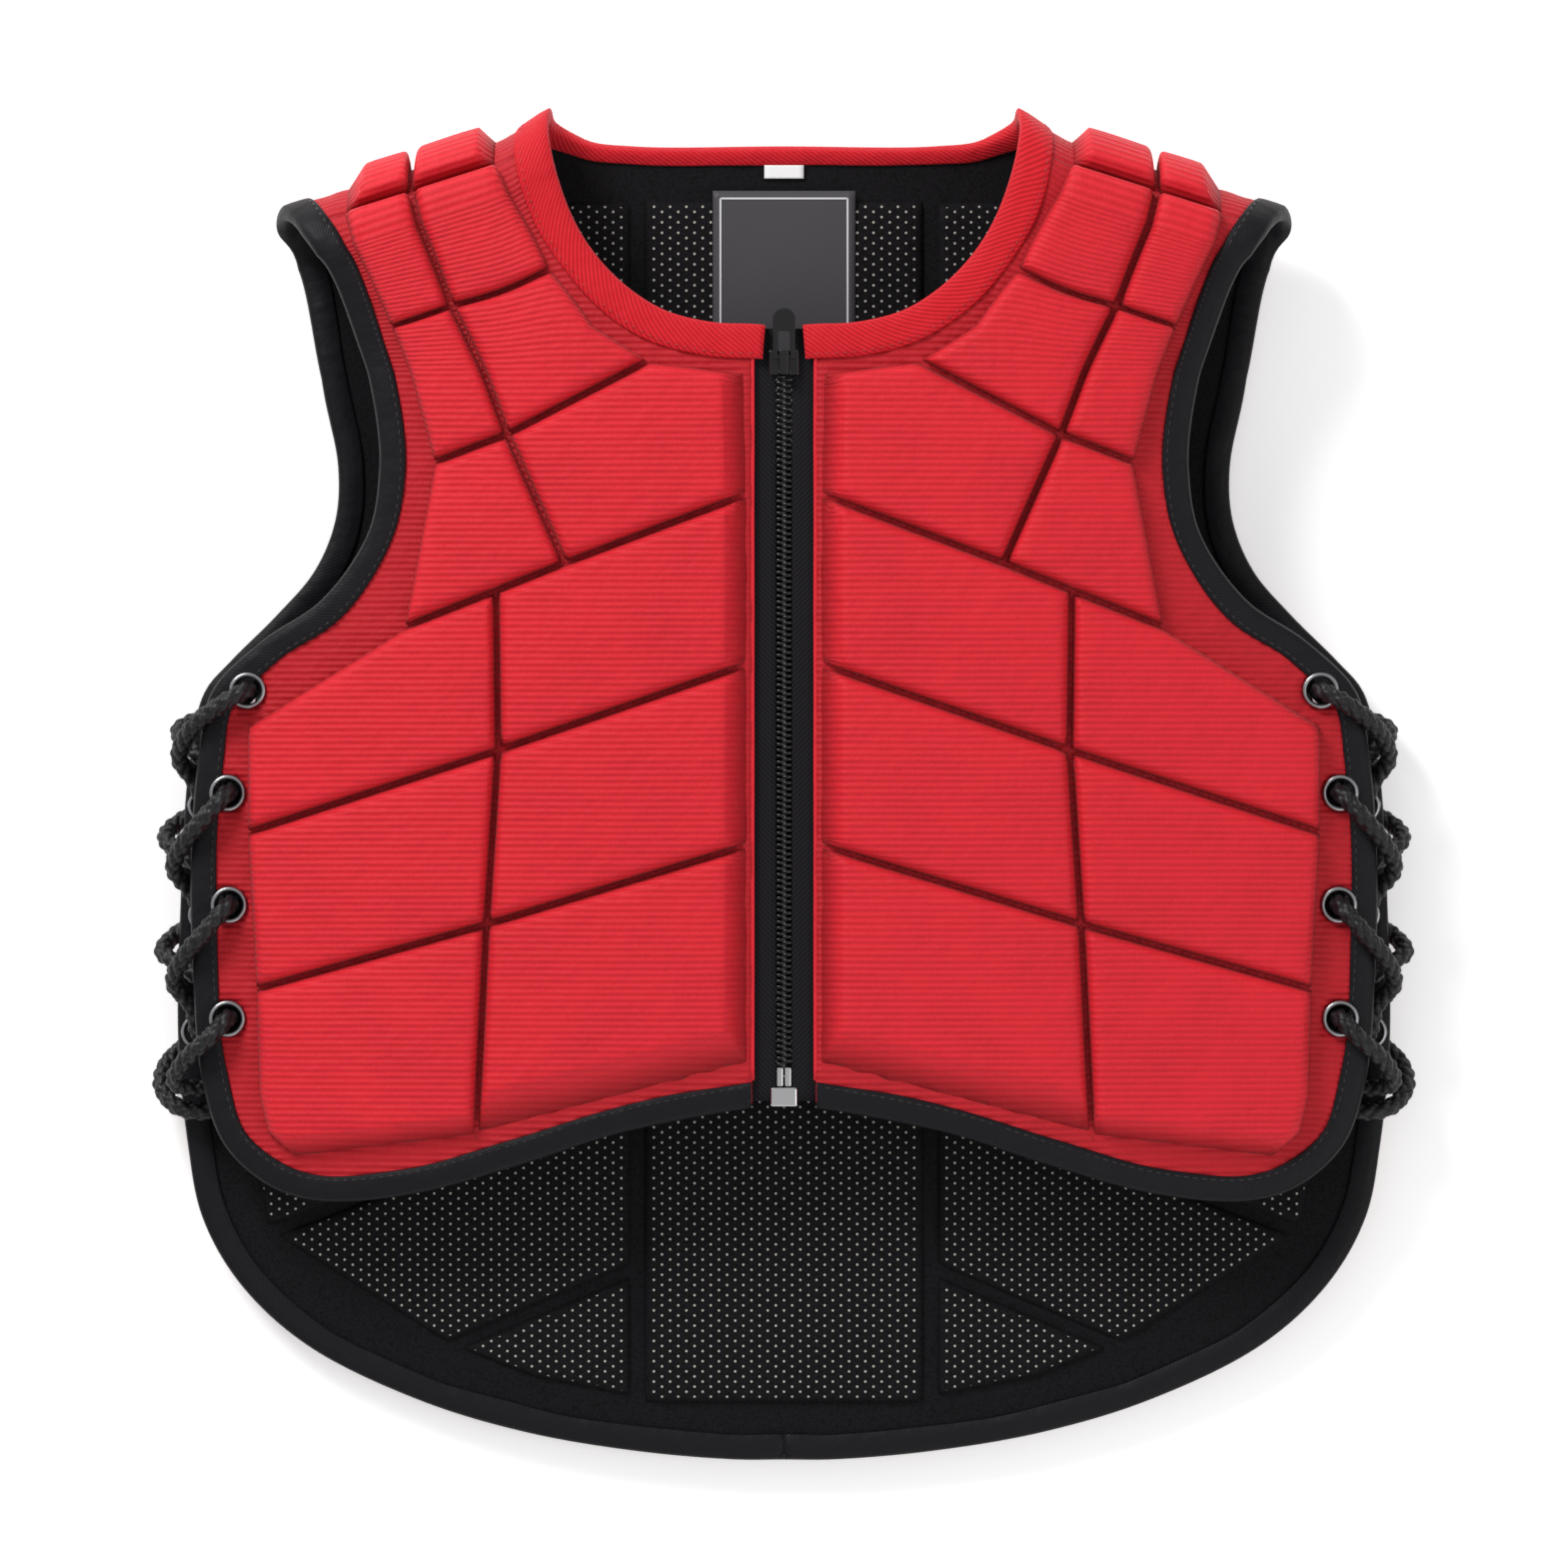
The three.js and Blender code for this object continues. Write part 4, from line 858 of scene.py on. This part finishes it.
def tapeSection(outside, inside):
    # Depth from the edge and height, once round the folded tape
    high = cloth["sheet"] + tape["gap"]
    low = cloth["liningLow"] - tape["gap"]
    skinHigh, skinLow = high + tape["thickness"], low - tape["thickness"]
    middle, half = (skinHigh + skinLow) / 2, (skinHigh - skinLow) / 2
    angles = np.linspace(0.25, math.pi - 0.25, 7)
    turn = [(1.4 - 1.5 * math.sin(a), middle + half * math.cos(a)) for a in angles]
    outer = [(outside, high), (outside + 0.1, high + 0.5), (outside - 0.5, skinHigh - 0.05)]
    outer += [(outside * 0.7, skinHigh + 0.12), (outside * 0.35, skinHigh + 0.15)]
    inner = [(inside * 0.4, skinLow - 0.1), (inside - 0.5, skinLow + 0.05)]
    inner += [(inside + 0.1, low - 0.5), (inside, low)]
    return outer + turn + inner + [(tape["thickness"], low), (tape["thickness"], high)]


def sideNormals(line):
    along = np.gradient(line, axis=0)
    along /= np.linalg.norm(along, axis=1)[:, None]
    return np.stack([along[:, 1], -along[:, 0]], axis=1)


def foldedTape(line, section, seed):
    # The section follows the line on the cloth; the cloth lies to the right of the line
    normals = sideNormals(line)
    length = runLength(line)
    ring = np.array(section + section[:1])
    form = bmesh.new()
    bmesh.ops.create_grid(form, x_segments=len(line) - 1, y_segments=len(ring) - 1, size=0.5)
    flatPlace(form)
    layer = form.loops.layers.uv["cloth"]
    around = runLength(ring)
    puff = noiseAt(np.stack([length, length * 0], axis=1), 22, seed)
    wander = noiseAt(np.stack([length, length * 0], axis=1), 45, seed + 1)
    for vert in form.verts:
        i = round((vert.co.x + 0.5) * (len(line) - 1))
        j = round((vert.co.y + 0.5) * (len(ring) - 1))
        depth, height = ring[j]
        outside = 1 if height > 0 else -1
        reach = min(depth / 6, 1)
        depth += 0.35 * wander[i] * reach
        place = line[i] + normals[i] * depth
        for loop in vert.link_loops:
            loop[layer].uv = (length[i] / 100, around[j] / 100)
        vert.co = (*place, height + outside * 0.22 * puff[i] * reach)
    bmesh.ops.remove_doubles(form, verts=form.verts, dist=0.0001)
    return form


def closedEnds(form):
    bmesh.ops.holes_fill(form, edges=[edge for edge in form.edges if edge.is_boundary])
    outward(form)
    return form


blackLine = smoothLine(
    [(frontHem[-1][0] - 6, frontHem[-1][1] - 0.5)] + frontHem[::-1] + frontArmhole[::-1]
    + strapLine(strapArm) + backArmhole + backHem + mirrored(backHem)[1:3],
    tape["step"],
)
blackLine = blackLine[blackLine[:, 0] > -0.01]
redHalf = smoothLine(
    [(tape["neckEnd"] - 2, frontNeck[0][1] + 0.6)] + frontNeck + strapLine(strapNeck) + backNeck[::-1],
    tape["step"],
)
redLine = np.vstack([redHalf[:-1], redHalf[::-1] * [-1, 1]])[::-1]
blackForm = foldedTape(blackLine, tapeSection(tape["edgeWidth"], tape["edgeWidth"]), 11)
redForm = foldedTape(redLine, tapeSection(tape["neckWidth"], tape["neckInside"]), 13)


def trimmedInFront(form, x):
    # Cuts off what reaches over the zip in front
    front = [face for face in form.faces if face.calc_center_median().y > 0]
    parts = set(front)
    for face in front:
        parts.update(face.verts)
        parts.update(face.edges)
    parts = [part for part in parts if not isinstance(part, bmesh.types.BMVert) or part.co.x > -30]
    bmesh.ops.bisect_plane(
        form, geom=parts, dist=0.01, plane_co=(x, 0, 0), plane_no=(1, 0, 0), clear_inner=True,
    )


trimmedInFront(blackForm, cloth["zipEdge"] + 0.2)
closedEnds(blackForm)
frontRed = [vert for vert in redForm.verts if vert.co.y > 0 and abs(vert.co.x) < tape["neckEnd"]]
bmesh.ops.delete(redForm, geom=frontRed, context="VERTS")
closedEnds(redForm)
lipTurn = np.linspace(0, 2 * math.pi, 9)[:-1]
lipSection = [(-0.2 - 0.8 * math.cos(a), 1.4 + 0.8 * math.sin(a)) for a in lipTurn]
lipLine = np.array([(cloth["zipEdge"], t) for t in np.arange(frontNeck[0][1] + 8, frontHem[-1][1] - 6, 5)])
lipForm = closedEnds(foldedTape(lipLine, lipSection, 17))
finishPair("black_binding", blackForm, blackTape, "edge_binding")
finishPair("front_lip", lipForm, redCloth, "front_panel")
finishPiece("red_binding", redForm, [redTape], "vest", ["neck_binding"])


print("stitches")
stitch = {"length": 2.3, "pitch": 3.4, "width": 0.65, "height": 0.5}


def addStitches(form, line, depth, height, size=stitch):
    # Dashes of thread along a line on the cloth, depth to its right
    line = np.array(line, float)
    if depth:
        line = line + sideNormals(line) * depth
    length = runLength(line)

    def placeAt(distance):
        return [np.interp(distance, length, line[:, axis]) for axis in (0, 1)]

    for at in np.arange(size["pitch"] / 2, length[-1], size["pitch"]):
        x, t = placeAt(at)
        ahead, back = placeAt(at + 0.5), placeAt(at - 0.5)
        turn = math.atan2(ahead[1] - back[1], ahead[0] - back[0])
        matrix = (
            Matrix.Translation((x, t, height))
            @ Matrix.Rotation(turn, 4, "Z")
            @ Matrix.Diagonal((size["length"], size["width"], size["height"], 1))
        )
        bmesh.ops.create_icosphere(form, subdivisions=1, radius=0.5, matrix=matrix)


frontThread = bmesh.new()
chest, rib, waist, upper, lower, foot = frontSeams
seamLines = [
    [(row[2][0] + 2, row[2][1]) if point is row[2] else point for point in row] for row in frontSeams[:-1]
]
seamLines.append([strapPoint(strapPads["seam"], cloth["frontReach"]), chest[1], rib[1], waist[1]])
seamLines.append([frontCorners["lowerSeamTop"], upper[1], lower[1], foot[1]])
for line in seamLines:
    addStitches(frontThread, line, 0, cloth["sheet"] + 0.35)
backThread = bmesh.new()
backLines = list(backSeams)
backLines.append([strapPoint(strapPads["seam"], -cloth["backReach"])] + [row[1] for row in backSeams])
backLines.append([backSeams[0][2]] + [row[2] for row in backSeams[1:]] + [backCorners["tailFoot"]])
for line in backLines:
    addStitches(backThread, line, 0, cloth["sheet"] + 0.35)
    addStitches(backThread, mirrored(line), 0, cloth["sheet"] + 0.35)
for up in columnSeams[1:-1]:
    ends = onBack([(columnHalf, up), (-columnHalf, up)])
    addStitches(backThread, ends, 0, cloth["sheet"] + 0.35)


tapeStitch = {"length": 2.4, "pitch": 3.6, "width": 0.6, "height": 0.4}
tapeFace = cloth["sheet"] + tape["gap"] + tape["thickness"]
blackLegs = bmesh.new()
beyondZip = blackLine[blackLine[:, 0] > cloth["zipEdge"] + 1]
addStitches(blackLegs, beyondZip, tape["edgeWidth"] - 1.6, tapeFace + 0.05, tapeStitch)
redLegs = bmesh.new()
redFront = redHalf[redHalf[:, 0] > tape["neckEnd"] + 1]
addStitches(redLegs, redFront[::-1], tape["neckWidth"] - 1.8, tapeFace + 0.05, tapeStitch)
finishPair("front_stitches", frontThread, redThread)
finishPair("binding_stitches", blackLegs, blackThread)
finishPair("neck_stitches", redLegs, redThread)
finishPiece("back_stitches", backThread, [redThread], "vest", [])


print("eyelets")
stackHigh = tapeFace + 0.35
stackLow = cloth["liningLow"] - tape["gap"] - tape["thickness"] - 0.35


def eyeletForm(x, t):
    # A rolled flange on both faces and the barrel between them, turned from one section
    middle = (stackHigh + stackLow) / 2
    half = (stackHigh - stackLow) / 2
    outer, hole, lip = eyelet["outer"], eyelet["hole"], eyelet["flange"]
    section = [
        (hole, 0), (hole, half - 0.5), (hole + 0.35, half + lip * 0.8), (hole + 1.0, half + lip * 1.3),
        (outer - 0.5, half + lip * 0.7), (outer, half - 0.1),
        (outer - 0.5, half - 0.5), (hole + 0.7, half - 0.6),
    ]
    section += [(radius, -height) for radius, height in section[:0:-1]]
    form = bmesh.new()
    verts = [form.verts.new((radius, 0, height)) for radius, height in section]
    edges = [form.edges.new((verts[i], verts[(i + 1) % len(verts)])) for i in range(len(verts))]
    bmesh.ops.spin(
        form, geom=verts + edges, cent=(0, 0, 0), axis=(0, 0, 1), angle=2 * math.pi,
        steps=eyelet["steps"], use_merge=True, use_duplicate=False,
    )
    bmesh.ops.remove_doubles(form, verts=form.verts, dist=0.01)
    outward(form)
    around = bend([(x, t, middle), (x + 1, t, middle), (x, t + 1, middle), (x, t, middle + 1)])
    across, along = Vector(around[1] - around[0]), Vector(around[2] - around[0])
    normal = Vector(around[3] - around[0]).normalized()
    across = (across - normal * across.dot(normal)).normalized()
    along = normal.cross(across)
    turn = Matrix((across, along, normal)).transposed().to_4x4()
    bmesh.ops.transform(form, matrix=Matrix.Translation(around[0]) @ turn, verts=form.verts)
    return form


for face, places in (("front", frontEyelets), ("back", backEyelets)):
    for number, (x, t) in enumerate(places, 1):
        form = eyeletForm(x, t)
        outward(form)
        for side, half in zip(sides, (form, flipped(form))):
            node = f"{face}_eyelet_{number}_{side}"
            finishPiece(f"{node}_ring", half, [gunmetal], "vest", [node], flat=False)


print("laces")
lace = {"radius": 3.05, "strand": 1.3, "strands": 4, "pitch": 21, "step": 0.6, "sides": 36}

# The lace's route in millimetres, as in the solids: out from the middle, y and z
laceRoute = [
    (206, -122, 24.5), (222, -128, 24.5), (237, -127, 25), (244.5, -119, 18), (243, -110, 9),
    (235, -102, 5.6), (230, -97.4, 9), (230, -97.4, 22), (232, -87, 27.5), (238.5, -78, 34),
    (234.5, -68, 43.5), (225, -57, 49), (216.5, -47.1, 45.5), (216.4, -47.1, 30.5), (224, -36, 27),
    (236, -27.5, 24.5), (243, -22, 17), (241, -17, 8.5), (232, -11, 5.4), (227.3, -8.5, 9),
    (227.3, -8.5, 21.5), (231, 1, 26.5), (236.5, 10, 33), (231.5, 21, 44), (219, 31, 51),
    (209.5, 36.4, 48), (209, 36.4, 33), (212.5, 33.8, 23), (213, 33.8, 10), (218.5, 31, 5.4),
    (230, 26, 6.5), (238, 21, 14), (233.5, 14.5, 23), (222, 5, 27), (216.8, -3.5, 31),
    (216.8, -3.5, 46.5), (224.5, -12, 50), (234, -23, 44.5), (238.5, -33, 35), (232.5, -42, 27),
    (227.3, -51.3, 21.5), (227.3, -51.3, 9), (232, -54, 5.4), (241, -60.5, 8.5), (244.2, -66, 17),
    (236, -71.5, 24), (224, -80, 26.5), (217.1, -91.5, 29), (217.1, -91.5, 44.5), (224, -99, 48),
    (234, -108, 42), (238, -117, 33), (227, -119, 25.8), (212, -112, 25),
]


def braidedCord(route):
    # A tube whose skin rises and falls as strands pass over and under each other
    line = smoothLine(route, lace["step"])
    length = runLength(line)
    even = np.arange(0, length[-1], lace["step"])
    line = np.stack([np.interp(even, length, line[:, axis]) for axis in range(3)], axis=1)
    along = np.gradient(line, axis=0)
    along /= np.linalg.norm(along, axis=1)[:, None]
    side = np.cross(along[0], (0, 0, 1.0))
    rings = []
    for direction in along:
        side = side - direction * np.dot(side, direction)
        side /= np.linalg.norm(side)
        rings.append((side, np.cross(direction, side)))
    count, sidesCount = len(line), lace["sides"]
    angle = np.arange(sidesCount) / sidesCount * 2 * math.pi
    turns = angle[None, :] / (2 * math.pi) * lace["strands"]
    rise = even[:, None] / lace["pitch"] * lace["strands"]
    one, other = turns + rise, turns - rise
    over = (np.floor(one) + np.floor(other)) % 2 == 0
    ridge = np.where(over, np.sin(np.mod(one, 1) * math.pi), np.sin(np.mod(other, 1) * math.pi))
    run = np.where(over, np.sin(np.mod(other, 1) * math.pi), np.sin(np.mod(one, 1) * math.pi))
    crest = np.sqrt(ridge) * (0.55 + 0.45 * run)
    radius = lace["radius"] + lace["strand"] * (crest - 0.5)
    radius[0], radius[-1] = lace["radius"] * 0.6, lace["radius"] * 0.6
    firsts = np.array([ring[0] for ring in rings])[:, None, :]
    seconds = np.array([ring[1] for ring in rings])[:, None, :]
    skin = line[:, None, :] + (
        firsts * np.cos(angle)[None, :, None] + seconds * np.sin(angle)[None, :, None]
    ) * radius[:, :, None]
    form = bmesh.new()
    bmesh.ops.create_grid(form, x_segments=count - 1, y_segments=sidesCount, size=0.5)
    layer = form.loops.layers.uv.new("cloth")
    # crest is each strand's rise; the cord's material paints highlight and shade from it
    crestLayer = form.verts.layers.float.new("crest")
    for vert in form.verts:
        i = round((vert.co.x + 0.5) * (count - 1))
        j = round((vert.co.y + 0.5) * sidesCount)
        for loop in vert.link_loops:
            loop[layer].uv = (even[i] / 100, j * 0.6 / 100)
        vert[crestLayer] = crest[i, j % sidesCount]
        vert.co = skin[i, j % sidesCount]
    bmesh.ops.remove_doubles(form, verts=form.verts, dist=0.00001)
    return closedEnds(form)


finishPair("braided_lace", braidedCord(laceRoute), cordBraid, "lace", flat=False)


print("zip")
zipParts = {
    "tapeHigh": -0.3,
    "tapeLow": -1.2,
    "neckReach": 1.5,
    "footReach": 12,
    "tapeInner": 3.0,
    "tapeWidth": 15.8,
    "pitch": 2.3,
    "toothBlocks": [(1.25, (3.3, 1.25, 2.7)), (-0.2, (1.3, 1.5, 1.9))],  # place across and size
}
chainLow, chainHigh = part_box("zip_chain")
tapeBottom, tapeTop = (v.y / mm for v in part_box("zip_tape_left"))


def zipT(y):
    return pattern(0, y / halfLength, 1)[1]


tapeForm = bmesh.new()
bmesh.ops.create_grid(tapeForm, x_segments=6, y_segments=90, size=0.5)
tapeFoot = tapeBottom - zipParts["footReach"]
for vert in tapeForm.verts:
    x = zipParts["tapeInner"] + (vert.co.x + 0.5) * zipParts["tapeWidth"]
    y = tapeFoot + (vert.co.y + 0.5) * (tapeTop + zipParts["neckReach"] - tapeFoot)
    vert.co = (x, zipT(y), zipParts["tapeLow"])
flatPlace(tapeForm)
raised = bmesh.ops.extrude_face_region(tapeForm, geom=tapeForm.faces[:])["geom"]
for item in raised:
    if isinstance(item, bmesh.types.BMVert):
        item.co.z = zipParts["tapeHigh"] + (0.5 if item.co.x < 4 else 0)
outward(tapeForm)
finishPair("zip_cloth", tapeForm, zipCloth, "zip_tape")

teeth = bmesh.new()
chainMiddle = (zipParts["tapeHigh"] + zipParts["tapeLow"]) / 2
startY, endY = chainLow.y / mm + 1, chainHigh.y / mm - 1
for index, y in enumerate(np.arange(startY, endY, zipParts["pitch"] / 2)):
    side = 1 if index % 2 else -1
    for out, size in zipParts["toothBlocks"]:
        spot = Matrix.Translation((side * out, zipT(y), chainMiddle))
        bmesh.ops.create_cube(teeth, size=1, matrix=spot @ Matrix.Diagonal((*size, 1)))
bmesh.ops.bevel(
    teeth, geom=teeth.edges[:], offset=0.28, offset_type="OFFSET", affect="EDGES", segments=1,
    profile=0.5, material=-1,
)
finishPiece("zip_teeth", teeth, [blackEnamel], "vest", ["zip_chain"])


def softened(node, offset, segments=3):
    # A copy of a solid from the frame with its edges rounded
    form = bmesh.new()
    form.from_mesh(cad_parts[node].data)
    bmesh.ops.scale(form, vec=(1 / mm,) * 3, verts=form.verts)
    bmesh.ops.remove_doubles(form, verts=form.verts, dist=0.001)
    bmesh.ops.dissolve_limit(form, angle_limit=0.01, verts=form.verts, edges=form.edges)
    sharp = [edge for edge in form.edges if edge.is_manifold and edge.calc_face_angle() > 0.6]
    bmesh.ops.bevel(
        form, geom=sharp, offset=offset, offset_type="OFFSET", affect="EDGES", segments=segments,
        profile=0.5, material=-1, clamp_overlap=True,
    )
    return form


hardPieces = [
    ("slider_body", "zip_slider", blackEnamel, "zip_metal", "vest", 0.7),
    ("pull_tab", "zip_pull", blackEnamel, "zip_metal", "pull", 0.55),
    ("retainer_box", "zip_box", nickel, "zip_silver", "vest", 0.8),
    ("insertion_pin_left", "zip_pin_left", nickel, "zip_silver", "vest", 0.5),
    ("insertion_pin_right", "zip_pin_right", nickel, "zip_silver", "vest", 0.5),
]
for name, node, material, slot, body, offset in hardPieces:
    finishPiece(name, softened(node, offset), [material], body, [node], flat=False, smooth=False)


print("label and tag")
label = {"inset": 3, "frame": 0.7, "rise": 0.25}


def patchForm(node, cells, curl):
    # A patch as large as the solid, with a slight wave
    low, high = (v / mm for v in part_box(node))
    form = bmesh.new()
    bmesh.ops.create_grid(form, x_segments=cells, y_segments=cells, size=0.5)
    for vert in form.verts:
        x = low.x + (vert.co.x + 0.5) * (high.x - low.x)
        y = low.y + (vert.co.y + 0.5) * (high.y - low.y)
        vert.co = (x, y, high.z + curl * math.sin(x * 0.11 + 1) * math.cos(y * 0.09))
    flatPlace(form)
    return form, low, high


def thickened(form, depth):
    lower = bmesh.ops.extrude_face_region(form, geom=form.faces[:])["geom"]
    for item in lower:
        if isinstance(item, bmesh.types.BMVert):
            item.co.z -= depth
    outward(form)
    return form


labelForm, labelLow, labelHigh = patchForm("label_patch", 24, 0.12)
labelForm = thickened(labelForm, 0.7)
finishPiece("label_cloth", labelForm, [labelSatin], "vest", ["label_patch"], flat=False)
frameLine = bmesh.new()
width, length = labelHigh.x - labelLow.x, labelHigh.y - labelLow.y
for x, y, w, l in (
    (0, length / 2 - label["inset"], width - 2 * label["inset"], label["frame"]),
    (0, label["inset"] - length / 2, width - 2 * label["inset"], label["frame"]),
    (width / 2 - label["inset"], 0, label["frame"], length - 2 * label["inset"]),
    (label["inset"] - width / 2, 0, label["frame"], length - 2 * label["inset"]),
):
    spot = Matrix.Translation((x, (labelLow.y + labelHigh.y) / 2 + y, labelHigh.z + label["rise"] / 2))
    bmesh.ops.create_cube(frameLine, size=1, matrix=spot @ Matrix.Diagonal((w, l, label["rise"], 1)))
flatPlace(frameLine)
finishPiece("label_frame", frameLine, [frameSatin], "vest", [], flat=False, smooth=False)
tagForm, _, _ = patchForm("neck_tag", 8, 0.1)
finishPiece("ribbon_tag", thickened(tagForm, 0.5), [tagSatin], "vest", ["neck_tag"], flat=False)

print("stage")
floorForm = bmesh.new()
bmesh.ops.create_grid(floorForm, x_segments=1, y_segments=1, size=6)
floorMesh = bpy.data.meshes.new("floor")
floorForm.to_mesh(floorMesh)
floorForm.free()
paper = newMaterial("palePaper", "#FCFCFC", 0.9, {"Emission Color": (1, 1, 1, 1), "Emission Strength": 0.3})
floorMesh.materials.append(paper[0])
floor = bpy.data.objects.new("floor", floorMesh)
bpy.context.collection.objects.link(floor)
